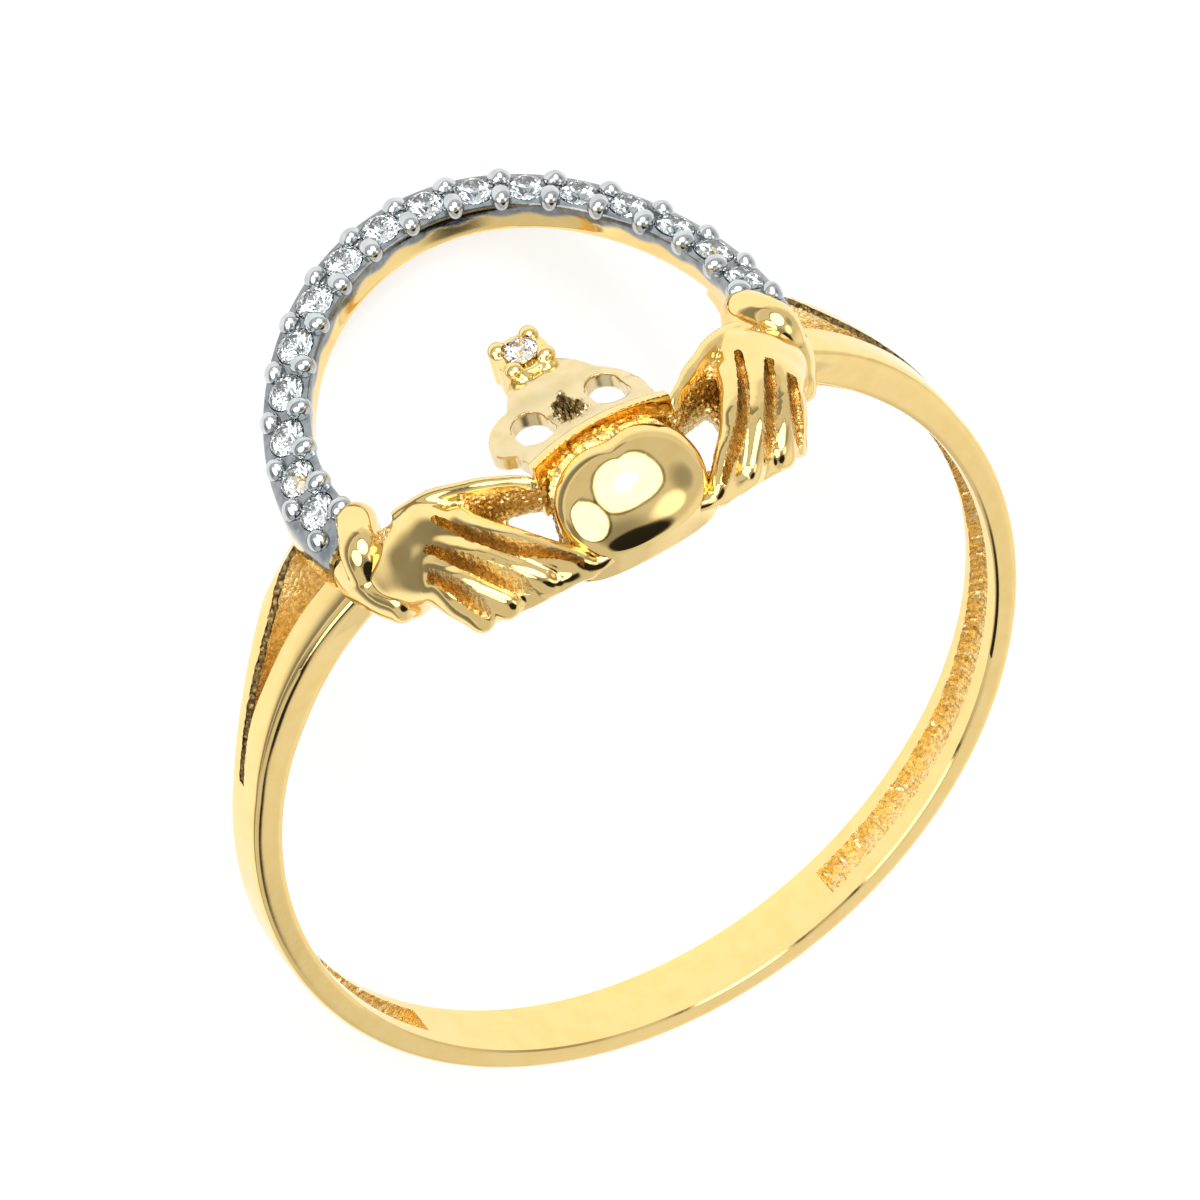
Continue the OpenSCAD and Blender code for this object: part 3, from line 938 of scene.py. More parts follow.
@dataclass
class Arc:
    """The raised arc that holds the row of small stones, with its beads and risers.

    Attributes:
        width: Width of its wall from above.
        wall: Height of its wall.
        corners: How square its section is.
        white: Height above the bore at which the white plating begins.
        stones: Number of stones.
        stone_r: Radius of a stone's girdle.
        gap: Gap between a stone and its seat.
        pavilion: Depth of the seat's cone.
        culet: Width of the cone's end, as a share of the seat's.
        bead_r: Radius of a bead.
        bead_out: How far the beads stand from the middle of the row.
        past: How far the wall runs past the end stones, in degrees.
        risers: Each riser's outline: angle from the bottom, then its front and its rear edge as
            shares of the band's width.
    """

    width: float = 1.1
    wall: float = 0.75
    corners: float = 9.0
    white: float = 1.5
    stones: int = 16
    stone_r: float = 0.42
    gap: float = 0.02
    pavilion: float = 0.4
    culet: float = 0.2
    bead_r: float = 0.25
    bead_out: float = 0.345
    past: float = 12.0
    risers: Rows = ((138, 0.50, 0.93), (145, 0.70, 1.11), (154, 0.82, 1.24), (162, 0.86, 1.29))

    def angle(self, number: float) -> float:
        """Angle of a stone from above, in radians; the first is number 0."""
        return math.pi * number / (self.stones - 1)

    def point(self, angle: float, r: float, rise: float) -> Vector:
        """A point over the arc."""
        return BAND.over(r * math.cos(angle), BAND.arc_y + r * math.sin(angle), rise)

    def rail(self) -> bpy.types.Object:
        """Spins the arc's wall, then bends it over the finger.

        Returns:
            The wall, without its seats.
        """
        at = BAND.arc_r
        rail = spun("arc", sides=48, at=at, size=0.3, start=-self.past, turn=180 + 2 * self.past, steps=300,
                    upright=True)

        def shape(p: Vector) -> Vector:
            """Gives a point of the round bar its place in the wall.

            Args:
                p: A point of the round bar.

            Returns:
                Its new place.
            """
            r = math.hypot(p.x, p.y)
            angle = math.atan2(p.y, p.x)
            a, b = squarish(math.atan2(p.z, r - at), self.corners)
            wide, high = self.width / 2, self.wall / 2
            return self.point(angle, BAND.arc_r + a * wide, BAND.arc_rise - high + b * high)

        return shaped(rail, shape)

    def upright(self, piece: bpy.types.Object, number: float, out: float = 0.0) -> bpy.types.Object:
        """Stands a piece on the arc's rim, square to it.

        Args:
            piece: The piece, made at the origin.
            number: Its place along the row, in stones.
            out: How far outside the middle of the row it stands.

        Returns:
            The same piece.
        """
        place = self.point(self.angle(number), BAND.arc_r + out, BAND.arc_rise)
        lean = math.asin(place.x / (BAND.bore_r + BAND.arc_rise))
        piece.data.transform(Matrix.Translation(place) @ Matrix.Rotation(lean, 4, "Y"))
        return piece

    def seat(self, number: int) -> bpy.types.Object:
        """Builds the cutter of one stone's seat.

        Args:
            number: The stone's number.

        Returns:
            The cutter.
        """
        hole = rod("seat", sides=40, radius=self.stone_r + self.gap, depth=1.0, at=(0, 0, 0.45))
        bpy.ops.object.mode_set(mode="EDIT")
        bpy.ops.mesh.select_all(action="DESELECT")
        bpy.ops.object.mode_set(mode="OBJECT")
        for face in hole.data.polygons:
            face.select = face.normal.z < -0.9
        bpy.ops.object.mode_set(mode="EDIT")
        bpy.ops.mesh.extrude_region_move(TRANSFORM_OT_translate={"value": (0, 0, -self.pavilion)})
        bpy.ops.transform.resize(value=(self.culet, self.culet, 1))
        bpy.ops.object.mode_set(mode="OBJECT")
        return self.upright(hole, number)

    def bead(self, number: float, side: int) -> bpy.types.Object:
        """Builds one rounded bead between two stones.

        Args:
            number: Its place along the row, in stones.
            side: -1 for the inner bead, 1 for the outer one.

        Returns:
            The bead.
        """
        turn = Matrix.Rotation(self.angle(number), 3, "Z")

        def low(p: Vector) -> Vector:
            """Makes the inner bead broad and low."""
            return turn @ Vector((p.x * 1.12, p.y * 0.92, p.z * (0.9 if p.z > 0 else 1.3) + 0.05))

        def claw(p: Vector) -> Vector:
            """Draws the outer bead up into a small claw that leans on its stones.

            Args:
                p: A point of the ball.

            Returns:
                Its new place.
            """
            up = max(0.0, p.z / self.bead_r)
            return turn @ Vector((p.x * (1.0 - 0.2 * up) - 0.04 * up, p.y * (1.05 - 0.35 * up * up),
                                  p.z * (0.98 if p.z > 0 else 1.6)))

        bead = shaped(ball("bead", segments=28, rings=16, radius=self.bead_r), low if side < 0 else claw)
        return self.upright(bead, number, side * self.bead_out)

    def riser(self) -> bpy.types.Object:
        """Builds the metal between the rear arms and the arc.

        Returns:
            The risers of both sides, in one piece.
        """
        half, inset, below, inside = 7, 0.02, 0.3, 0.1
        front, rear = ([(BAND.width * row[side], -BAND.edge_r * math.cos(math.radians(row[0])))
                        for row in self.risers] for side in (1, 2))
        block = prism("risers", front + rear[::-1], -half, half, lambda a, b, d: (d, a, b))
        for r, depth, kind in ((BAND.arc_r + self.width / 2 - inset, 20, "INTERSECT"),
                               (BAND.arc_r - BAND.overlap, 30, "DIFFERENCE")):
            cut(block, rod("tube", sides=96, radius=r, depth=depth, at=(0, BAND.arc_y, 5)), kind)
        for r, kind in ((BAND.bore_r + BAND.arc_rise - below, "INTERSECT"),
                        (BAND.bore_r + inside, "DIFFERENCE")):
            cut(block, rod("tube", sides=160, radius=r, depth=30, turn=(math.pi / 2, 0, 0)), kind)
        return block

    def build(self, f: Finishes) -> list[bpy.types.Object]:
        """Builds and dresses the arc and its beads.

        Args:
            f: The ring's finishes.

        Returns:
            The finished pieces.
        """
        lip, soft, wave, stray = 0.08, 0.05, 0.05, 0.03
        foot = (1.1, 1.15)
        rail = dressed(self.rail(), f.plated)
        for number in range(self.stones):
            cut(rail, dressed(self.seat(number), f.plated))

        def plating(p: Vector) -> float:
            """Share of white metal: all of the top, down to a wavy line on the walls.

            Args:
                p: A point of the wall.

            Returns:
                The share, from 0 to 1.
            """
            number = math.atan2(p.y - BAND.arc_y, p.x) / math.pi * (self.stones - 1)
            rise = math.hypot(p.x, p.z) - BAND.bore_r
            if abs(math.hypot(p.x, p.y - BAND.arc_y) - BAND.arc_r) < self.width / 2 - lip:
                return eased(*foot, rise)
            line = self.white + wave * math.cos(math.tau * number) + stray * noise.noise(p * 2.0)
            return eased(line - soft, line + soft, rise)

        masked(rail, "plating", plating)
        beads = [self.bead(k - 0.5, side) for k in range(self.stones + 1) for side in (-1, 1)]
        beads = dressed(joined(beads, "beads"), f.white)
        risers = dressed(self.riser(), f.polished)
        return [laid(smooth(rail), Finish.GOLD), laid(smooth(beads, 60), Finish.WHITE),
                laid(smooth(risers), Finish.GOLD)]


@dataclass
class Hands:
    """Two hands with their fingers, thumbs and cuffs, on their plate.

    Attributes:
        fingers: Each finger from its knuckle to its foot on the plate: share of its length,
            x, y and the height of its top above the bore.
        thumb: The thumb, in the same way.
        palm: Balls of the back of the hand: x, y, height of the top and radius.
        sleeve: The cuff's lower part, which grows out of its hem, as the fingers.
        slots: Each slot between two fingers, as the fingers.
        finger_hw: Half width of each finger.
        finger_depth: Half height of the fingers.
        slot_w: Width of a slot.
        slot_depth: How deep it cuts below its line.
        grain: Size of the faces of the melted skin.
        base: Half of the plate's outline, in shares of cuff_x and of reach.
        base_rows: Place along the finger as a share of reach, then the plate's underside and its
            top as shares of rise.
        gaps: Outlines of the plate's see-through corners.
        ground: Place along the finger, then the half width of the rough ground.
        thumb_line: Line of the thumb from above, across and along.
    """

    fingers: tuple[Rows, ...] = (
        ((0, 3.28, -2.20, 2.08), (0.3, 2.92, -3.30, 2.03), (0.6, 2.36, -4.18, 1.78),
         (0.86, 1.76, -4.80, 1.34), (1, 1.32, -5.06, 0.98)),
        ((0, 3.85, -2.40, 2.08), (0.3, 3.45, -3.38, 2.00), (0.6, 2.99, -4.08, 1.73),
         (0.86, 2.50, -4.62, 1.32), (1, 2.22, -4.86, 0.98)),
        ((0, 4.18, -2.80, 1.98), (0.35, 3.88, -3.56, 1.84), (0.65, 3.55, -4.06, 1.56),
         (0.86, 3.25, -4.40, 1.24), (1, 3.02, -4.58, 0.96)),
        ((0, 4.26, -3.00, 1.88), (0.4, 4.08, -3.54, 1.68), (0.7, 3.85, -3.90, 1.38),
         (0.88, 3.68, -4.12, 1.10), (1, 3.52, -4.26, 0.92)))
    finger_hw: tuple[float, ...] = (0.31, 0.31, 0.28, 0.25)
    thumb: Rows = ((0, 4.05, -1.45, 2.04), (0.3, 3.35, -1.80, 2.14), (0.65, 2.50, -2.50, 2.20),
                    (1, 1.42, -3.46, 2.24))
    palm: Rows = (
        (4.30, -1.92, 2.00, 0.50), (3.62, -1.95, 2.12, 0.50), (3.95, -2.75, 2.04, 0.50),
        (3.42, -2.60, 2.08, 0.45), (3.15, -2.95, 2.02, 0.32), (4.14, -3.16, 1.84, 0.34),
        (3.65, -3.10, 1.98, 0.40), (4.72, -1.32, 1.78, 0.44), (4.66, -1.95, 1.62, 0.45),
        (4.42, -2.50, 1.56, 0.42), (4.70, -1.70, 1.20, 0.40), (4.48, -2.20, 1.05, 0.40))
    sleeve: Rows = ((0, 4.96, -0.60, 1.62), (0.5, 4.94, -1.50, 1.58), (1, 4.48, -2.56, 1.12))
    slots: tuple[Rows, ...] = (
        ((0, 3.62, -2.34, 2.02), (0.3, 3.20, -3.35, 1.94), (0.6, 2.68, -4.15, 1.70), (1, 1.62, -5.12, 1.02)),
        ((0, 4.08, -2.76, 1.96), (0.35, 3.68, -3.52, 1.84), (0.7, 3.24, -4.22, 1.52), (1, 2.72, -4.82, 1.02)),
        ((0, 4.30, -3.20, 1.86), (0.35, 4.08, -3.66, 1.68), (0.7, 3.86, -4.08, 1.40), (1, 3.60, -4.46, 1.02)))
    slot_w: float = 0.21
    slot_depth: float = 0.32
    finger_depth: float = 0.46
    grain: float = 0.0375
    base: Rows = (
        (0, 0.59), (0.33, 0.58), (0.50, 0.47), (0.68, 0.33), (0.86, 0.24), (0.96, 0.26), (0.92, 0.42),
        (0.87, 0.56), (0.83, 0.68), (0.79, 0.78), (0.70, 0.86), (0.58, 0.93), (0.44, 0.985),
        (0.26, 1.02), (0.14, 1.0), (0, 1.0))
    base_rows: Rows = (
        (-1.05, 0.34, 0.40), (-0.98, 0.30, 0.46), (-0.88, 0.22, 0.48), (-0.70, 0.20, 0.50),
        (-0.47, 0.20, 0.52), (-0.15, 0.20, 0.52))
    gaps: tuple[Rows, ...] = (
        ((2.50, -2.72), (1.74, -3.12), (1.52, -4.42), (1.80, -4.50), (2.40, -3.50)),
        ((-2.25, -2.78), (-1.50, -3.28), (-1.42, -4.20), (-1.72, -4.32), (-2.35, -3.38)))
    ground: Rows = ((-5.12, 1.06), (-4.90, 1.35), (-4.33, 1.90), (-3.45, 2.52), (-2.60, 2.95))
    thumb_line: Rows = ((1.4, -3.46), (2.5, -2.50), (3.35, -1.80), (4.0, -1.45))

    def strand(self, rows: Rows, hw: float, depth: float, taper: float) -> bpy.types.Object:
        """Stretches a ball along a curve.

        Args:
            rows: The strand, from its start to its tip.
            hw: Half width of the strand.
            depth: Half height of the strand.
            taper: How much thinner it is at its tip.

        Returns:
            The strand.
        """
        ends, step, square = 0.14, 0.02, 2.8

        def line(t: float) -> Vector:
            """A point of the strand's middle."""
            thin = depth * (1 - taper * t)
            return BAND.over(table(rows, t, 1), table(rows, t, 2), table(rows, t, 3) - thin)

        def shape(p: Vector) -> Vector:
            """Gives a point of the ball its place on the strand.

            Args:
                p: A point of the ball.

            Returns:
                Its new place.
            """
            t = 1 - math.acos(max(-1.0, min(1.0, p.z))) / math.pi
            near = min(t, 1 - t) / ends
            full = (1.0 if near >= 1 else math.sqrt(max(0.0, 1 - (1 - near) ** 2))) * (1 - taper * t)
            way = (line(min(t + step, 1)) - line(max(t - step, 0))).normalized()
            side = way.cross(Vector((0, 0, 1))).normalized()
            a, b = squarish(math.atan2(p.y, p.x), square)
            return line(t) + side * hw * full * a + side.cross(way) * depth * full * b

        return facing_out(shaped(ball("strand", segments=28, rings=48), shape))

    def hull(self, rows: Rows, name: str) -> bpy.types.Object:
        """Builds one hull over balls whose tops are given.

        Args:
            rows: Each ball: x, y, height of its top and radius.
            name: The hull's name.

        Returns:
            The hull.
        """
        hull = joined([ball("ball", segments=24, rings=16, radius=r, at=BAND.over(x, y, rise - r))
                       for x, y, rise, r in rows], name)
        bpy.ops.object.mode_set(mode="EDIT")
        bpy.ops.mesh.select_all(action="SELECT")
        bpy.ops.mesh.convex_hull()
        bpy.ops.object.mode_set(mode="OBJECT")
        return hull

    def slot(self, number: int) -> bpy.types.Object:
        """Builds the cutter of one slot between two fingers.

        Args:
            number: Which of the slots.

        Returns:
            The cutter.
        """
        rows, step = self.slots[number], 0.02
        blunt, sharp, square = 0.1, 0.24, 5.0
        head, half_height = 0.22, 0.5

        def shape(p: Vector) -> Vector:
            """Gives a point of the ball its place on the slot's blade.

            Args:
                p: A point of the ball.

            Returns:
                Its new place.
            """
            t = 1 - math.acos(max(-1.0, min(1.0, p.z))) / math.pi
            bulge = max(0.0, math.sin(math.pi * t))
            full, wide = bulge ** sharp, bulge ** (blunt if t < 0.5 else sharp)
            x, y = table(rows, t, 1), table(rows, t, 2)
            before, after = max(t - step, 0), min(t + step, 1)
            way = Vector((table(rows, after, 1) - table(rows, before, 1),
                          table(rows, after, 2) - table(rows, before, 2), 0)).normalized()
            a, b = squarish(math.atan2(p.y, p.x), square)
            low = table(rows, t, 3) - self.slot_depth * full - head * (1 - t)
            side = Vector((way.y, -way.x, 0)) * a * wide * self.slot_w / 2 * (1 + 0.25 * b)
            return Vector((x, y, BAND.up(x, low) + half_height + half_height * b)) + side

        piece = facing_out(shaped(ball("slot", segments=28, rings=72), shape))
        return roughened(piece, depth=0.022, grain=BUMP, seed=number + 5)

    def pit(self) -> bpy.types.Object:
        """Builds the cutter of the rough pit between a cuff and its hand.

        Returns:
            The cutter.
        """
        wide, long, deep = 0.31, 0.46, 0.38
        place = Matrix.Translation(BAND.over(4.41, -1.36, 2.0)) @ Matrix.Rotation(math.radians(20), 4, "Z")
        pit = shaped(ball("pit", segments=48, rings=32),
                     lambda p: place @ Vector((p.x * wide, p.y * long, p.z * deep)))
        return roughened(pit, depth=0.04, grain=0.08, seed=11)

    def hem(self) -> bpy.types.Object:
        """Builds a cuff's rolled hem round the wrist.

        Returns:
            The hem of the right hand.
        """
        half, roll, square = 0.66, 0.43, 3.0
        across, along, up, lean = 0.06, -0.92, -1.06, math.radians(-21)
        hem = spun("right_cuff", sides=32, at=half, size=roll, start=0, turn=360, steps=96, upright=True)

        def shape(p: Vector) -> Vector:
            """Makes the round roll squarish and draws it in below the sleeve.

            Args:
                p: A point of the round roll.

            Returns:
                Its new place.
            """
            turn = math.atan2(p.y, p.x)
            e = squarish(turn, square)
            size = math.hypot(*e)
            q = half + (math.hypot(p.x, p.y) - half) / size
            low = eased(-0.2, 0.5, e[0] * q)
            return Vector((e[0] * q * (1 - 0.3 * low),
                           e[1] * q * (1 - 0.35 * low) * (0.9 if e[1] < 0 else 1), p.z))

        shaped(hem, shape)
        place = Vector((BAND.cuff_x + across, along, BAND.up(BAND.cuff_x, BAND.rise) + up))
        hem.data.transform(Matrix.Translation(place) @ Matrix.Rotation(math.pi / 2, 4, "Y")
                           @ Matrix.Rotation(lean, 4, "X"))
        return hem

    def plate(self) -> bpy.types.Object:
        """Builds the plate below the hands and the heart.

        Returns:
            The plate.
        """
        spread, push = 0.17, 0.5
        right = [(x * BAND.cuff_x, -y * BAND.reach) for x, y in self.base]
        left = [(-x, y) for x, y in right[::-1] if x > 0]
        piece = prism("plate", right + left, 0, 1, lambda a, b, d: (a, b, d))
        for gap in self.gaps:
            cut(piece, prism("gap", gap, -1, 2,
                             lambda a, b, d: (a + spread * (1 - d), b + push * (1 - d), d)))
        melted(piece, grain=0.05, rounds=0)

        def place(p: Vector) -> Vector:
            """Bends the plate over the finger.

            Args:
                p: A point of the flat plate.

            Returns:
                Its new place.
            """
            low, high = (table(self.base_rows, p.y / BAND.reach, c) * BAND.rise for c in (1, 2))
            return BAND.over(p.x, p.y, low + (high - low) * p.z)

        return shaped(piece, place)

    def rough(self, p: Vector) -> float:
        """Share of rough metal at a point: the ground beside the heart.

        Args:
            p: A point of the hands.

        Returns:
            The share, from 0 to 1.
        """
        side, top, low, high = 0.05, 0.08, 1.5, 0.45
        edge = table(self.ground, p.y, 1)
        rise = math.hypot(p.x, p.z) - BAND.bore_r
        past = p.y - table(self.thumb_line, abs(p.x), 1)
        limit = low + high * eased(-0.5, -0.3, past)
        inside = eased(-side, side, edge - abs(p.x)) * eased(limit + top, limit - top, rise)
        return inside * eased(-4.75, -4.6, p.y) * max(eased(0.12, 0.0, past), eased(1.45, 1.3, rise))

    def build(self, f: Finishes) -> list[bpy.types.Object]:
        """Builds and dresses both hands and their plate.

        Args:
            f: The ring's finishes.

        Returns:
            The finished pieces.
        """
        rounds = 22
        parts = [melted(self.hull(self.palm, "back"), grain=0.05, rounds=30),
                 self.strand(self.thumb, hw=0.24, depth=0.80, taper=0.4)]
        for rows, hw in zip(self.fingers, self.finger_hw):
            parts.append(self.strand(rows, hw, self.finger_depth, taper=0.2))
        right = joined(parts, "right_hand")
        hands = joined([right, mirrored(right, "left_hand"), self.plate()], "hands")
        hands = dressed(waved(melted(hands, self.grain, rounds), depth=0.05, length=0.8, seed=2), f.polished)
        cutter = joined([self.slot(k) for k in range(len(self.slots))] + [self.pit()], "slots")
        cutter = joined([cutter, mirrored(cutter, "slots_left")], "slots")
        cut(hands, dressed(cutter, f.cast))
        masked(hands, "rough", self.rough, depth=0.03)
        cuff = joined([self.hem(), self.strand(self.sleeve, hw=0.58, depth=0.58, taper=0.25)], "right_cuff")
        cuff = dressed(waved(melted(cuff, self.grain, rounds), depth=0.03, length=0.7, seed=4), f.polished)
        return [laid(smooth(p), Finish.GOLD) for p in (hands, cuff, mirrored(cuff, "left_cuff"))]


@dataclass
class Heart:
    """The domed heart between the hands.

    Attributes:
        middle: Its middle, x and y.
        half: Its half width and half length.
        rim: Height of its rim above the bore.
        dome: Height of its dome above the rim.
        slope: Rise of the rim towards the crown.
        foot: Height above the bore at which its flank ends.
        square: How square its outline is.
        dip: Depth of the dip in its upper edge, as a share of its half length.
        dip_w: Width of the dip, as a cosine.
        narrow: How much narrower it is towards its point.
        belt: Latitude of the ball at which the dome meets the flank.
        flank: Latitude through which the flank runs on below it.
    """

    middle: tuple[float, float] = (-0.06, -4.41)
    half: tuple[float, float] = (1.62, 0.99)
    rim: float = 1.45
    dome: float = 0.75
    slope: float = 0.55
    foot: float = 0.2
    square: float = 2.4
    dip: float = 0.12
    dip_w: float = 0.3
    narrow: float = 0.08
    belt: float = -0.05
    flank: float = 0.7

    def edge(self, angle: float) -> tuple[float, float]:
        """A point of the heart's outline, in shares of its half sizes.

        Args:
            angle: The angle from the heart's middle, in radians.

        Returns:
            The point's two coordinates.
        """
        x, y = squarish(angle, self.square)
        dip = self.dip * max(0.0, math.sin(angle)) * math.exp(-(math.cos(angle) / self.dip_w) ** 2)
        return x * (1 - self.narrow * max(0.0, -math.sin(angle))), y - dip

    def bank(self) -> bpy.types.Object:
        """Builds the rough ground that slopes up to the heart and to the crown behind it.

        Returns:
            The ground.
        """
        outline, corners = [], 96
        behind, before, low = 1.45, 0.5, 0.5
        for k in range(corners):
            angle = math.tau * k / corners
            x, y = self.edge(angle)
            side = eased(-0.85, -0.45, math.sin(angle))
            outline.append((x * self.half[0] * (0.80 + 0.20 * side),
                            y * self.half[1] * (behind if y > 0 else before)))
        bank = melted(prism("bank", outline, 0, 1, lambda a, b, d: (a, b, d)), grain=0.045, rounds=0)

        def shape(p: Vector) -> Vector:
            """Gives a point of the flat block its height.

            Args:
                p: A point of the block.

            Returns:
                Its new place.
            """
            u, v = p.x / self.half[0], p.y / self.half[1]
            angle = math.atan2(v, u)
            past = max(0.0, math.hypot(u, v) / math.hypot(*self.edge(angle)) - 0.97)
            back = eased(0.35, 0.85, math.sin(angle))
            top = self.rim + self.slope * min(v, 1.0) - 0.1 - past * (3.6 * (1 - back) - 0.2 * back)
            return BAND.over(self.middle[0] + p.x, self.middle[1] + p.y, low + (top - low) * p.z)

        return roughened(shaped(bank, shape), depth=0.05, grain=0.12, seed=23)

    def build(self, f: Finishes) -> list[bpy.types.Object]:
        """Shapes a ball into the heart, dresses it and builds the ground round it.

        Args:
            f: The ring's finishes.

        Returns:
            The finished pieces.
        """
        end = self.flank - self.belt

        def shape(p: Vector) -> Vector:
            """Gives a point of the ball its place on the heart.

            Args:
                p: A point of the ball.

            Returns:
                Its new place.
            """
            lat = math.asin(max(-1.0, min(1.0, p.z)))
            x, y = self.edge(math.atan2(p.y, p.x))
            if lat >= self.belt:
                a = max(0.0, lat)
                share = math.cos(a) ** 0.95 if a < math.pi / 2 - 1e-4 else 0.0
                rise = self.rim + self.dome * math.sin(a) + self.slope * y * share
                u, v = x * share, y * share
            else:
                t = min(1.0, (self.belt - lat) / self.flank)
                u = x * (1 + 0.03 * t)
                v = y * (1 - 0.26 * t if y < 0 else 1)
                top = self.rim + self.slope * y
                rise = top + (self.foot - top) * t
                if t >= 1:
                    shrink = max(0.0, 1 - (-lat - end) / (math.pi / 2 - end))
                    u, v = u * shrink, v * shrink
            return BAND.over(self.middle[0] + u * self.half[0], self.middle[1] + v * self.half[1], rise)

        heart = facing_out(shaped(ball("heart", segments=128, rings=64), shape))
        bank = dressed(self.bank(), f.cast)
        return [laid(smooth(dressed(heart, f.polished), 50), Finish.GOLD), laid(smooth(bank), Finish.GOLD)]


@dataclass
class Crown:
    """The crown: a pierced plate, its base strip and the collet of its stone.

    Attributes:
        front: Where its base strip begins, along the finger.
        length: From there to the middle of its stone.
        rise: Height above the bore at the front.
        fall: How steeply it falls towards the arc.
        lift: How far it lifts again to meet its stone.
        thick: Thickness of its plate.
        half: Half width of its base strip.
        loop_x: Distance from its middle to the middle of a loop.
        loop_y: Distance from its front to there.
        loop_r: Radius of a loop.
        off: How far both loops stand to one side.
        shoulder_y: Distance from its front to the corners of its shoulders and to its holes.
        neck: Half width of its neck.
        inset: How far the straight sides lie within the strip and the loops.
        hole_r: Half width of a hole.
        hole_len: How much longer than wide a hole is.
        cells: Size of the faces of its melted skin.
        strip_w: Width of the base strip.
        bow: How far the strip bows forward at its ends.
        strip_z: Underside and top of the strip, from the plate's top.
        collet_r: Radius of the collet.
        collet_rise: Height of the collet's rim above the bore.
        prong_out: How far the prongs stand from the stone's middle.
        prong_r: Radius of a prong.
        tip_r: Radius of its rounded tip.
        stone_r: Radius of the hole that the stone sits in.
    """

    front: float = -3.15
    length: float = 3.4
    rise: float = 2.22
    fall: float = 0.34
    thick: float = 0.4
    half: float = 1.6
    loop_x: float = 0.87
    loop_r: float = 0.82
    off: float = -0.13
    hole_r: float = 0.38
    hole_len: float = 0.5
    collet_r: float = 0.58
    collet_rise: float = 1.86
    lift: float = 0.38
    loop_y: float = 1.4
    shoulder_y: float = 1.3
    neck: float = 0.5
    inset: float = 0.1
    cells: float = 0.03
    strip_w: float = 0.27
    bow: float = 0.12
    strip_z: tuple[float, float] = (-1.28, 0.16)
    prong_out: float = 0.52
    prong_r: float = 0.21
    tip_r: float = 0.22
    stone_r: float = 0.39

    def top(self, y: float) -> float:
        """Height above the bore of the crown's top at y, which lifts again to meet its stone."""
        return self.rise - self.fall * (y - self.front) + self.lift * eased(-1.7, -0.4, y)

    def bent(self, piece: bpy.types.Object) -> bpy.types.Object:
        """Bends a flat piece, whose top is at 0, over the finger and down its slope."""
        melted(piece, self.cells, rounds=4)
        return shaped(piece, lambda p: Vector((p.x, p.y, BAND.up(p.x, self.top(p.y)) + p.z)))

    def disc(self, x: float, y: float, r: float, low: float, high: float) -> bpy.types.Object:
        """An upright round block."""
        return rod("disc", sides=72, radius=r, depth=high - low, at=(x, y, (low + high) / 2))

    def plate(self) -> bpy.types.Object:
        """Builds the pierced plate.

        Returns:
            The plate with its neck and the foot of its collet.
        """
        y, side, shoulder = self.front, self.half - self.inset, self.loop_x + self.loop_r - self.inset
        middle, end = y + self.shoulder_y, y + self.length
        back, past = end - 0.3, 1
        parts = [self.disc(s * self.loop_x + self.off, y + self.loop_y, self.loop_r, -self.thick, 0)
                 for s in (-1, 1)]
        outline = ((-side, y), (side, y), (shoulder, middle), (self.neck, back), (-self.neck, back),
                   (-shoulder, middle))
        parts.append(prism("neck", outline, -self.thick, 0, lambda a, b, d: (a, b, d)))
        parts.append(self.disc(0, end, self.collet_r, -self.thick, 0))
        plate = melted(joined(parts, "crown"), self.cells, rounds=0)
        for s in (-1, 1):
            for d in (-1, 0, 1):
                along = middle + d * self.hole_len / 2
                cut(plate, self.disc(s * self.loop_x, along, self.hole_r, -past, past))
        plate = self.bent(plate)

        def rough(p: Vector) -> float:
            """Share of rough metal, darkened as a painted shade: the hollow behind the middle of the strip.

            Args:
                p: A point of the plate.

            Returns:
                The share, from 0 to 1.
            """
            away = math.hypot((p.x + 0.05) / 0.36, (p.y + 1.85) / 0.6)
            return eased(1.0, 0.55, away + 0.5 * noise.noise(p * 5))

        return masked(waved(plate, depth=0.03, length=0.8, seed=6), "rough", rough, depth=0.2)

    def strip(self) -> bpy.types.Object:
        """Builds the strip at the crown's base.

        Returns:
            The strip.
        """
        steps = 8
        xs = [k / steps * self.half for k in range(-steps, steps + 1)]
        outline = [(x, self.front + self.strip_w - self.bow * x * x) for x in xs]
        outline += [(x, self.front - self.bow * x * x) for x in xs[::-1]]
        return self.bent(prism("strip", outline, *self.strip_z, lambda a, b, d: (a, b, d)))

    def collet(self) -> bpy.types.Object:
        """Builds the cup and prongs that hold the crown's stone.

        Returns:
            The collet.
        """
        y, prongs = self.front + self.length, 4
        parts = [self.disc(0, 0, self.collet_r, -0.95, -0.1)]
        for k in range(prongs):
            a = math.tau * (k + 0.5) / prongs
            x, z = self.prong_out * math.cos(a), self.prong_out * math.sin(a)
            lump = (0.74 * x, -0.56, -0.34 - 0.1 * z)
            parts.append(self.disc(x, z, self.prong_r, -0.9, -0.14))
            parts.append(ball("tip", segments=24, rings=16, radius=self.tip_r, at=(x, z, -0.12)))
            parts.append(ball("lump", segments=24, rings=16, radius=0.2, at=lump))
        collet = melted(joined(parts, "collet"), self.cells, rounds=4)
        bpy.ops.mesh.primitive_cone_add(vertices=48, radius1=0.05, radius2=self.stone_r, depth=0.32,
                                        location=(0, 0, -0.2))
        for hole in (added("seat"), self.disc(0, 0, self.stone_r, -0.05, 1)):
            cut(collet, hole)
        collet.data.transform(Matrix.Translation((0, y, BAND.up(0, self.collet_rise))))
        return collet

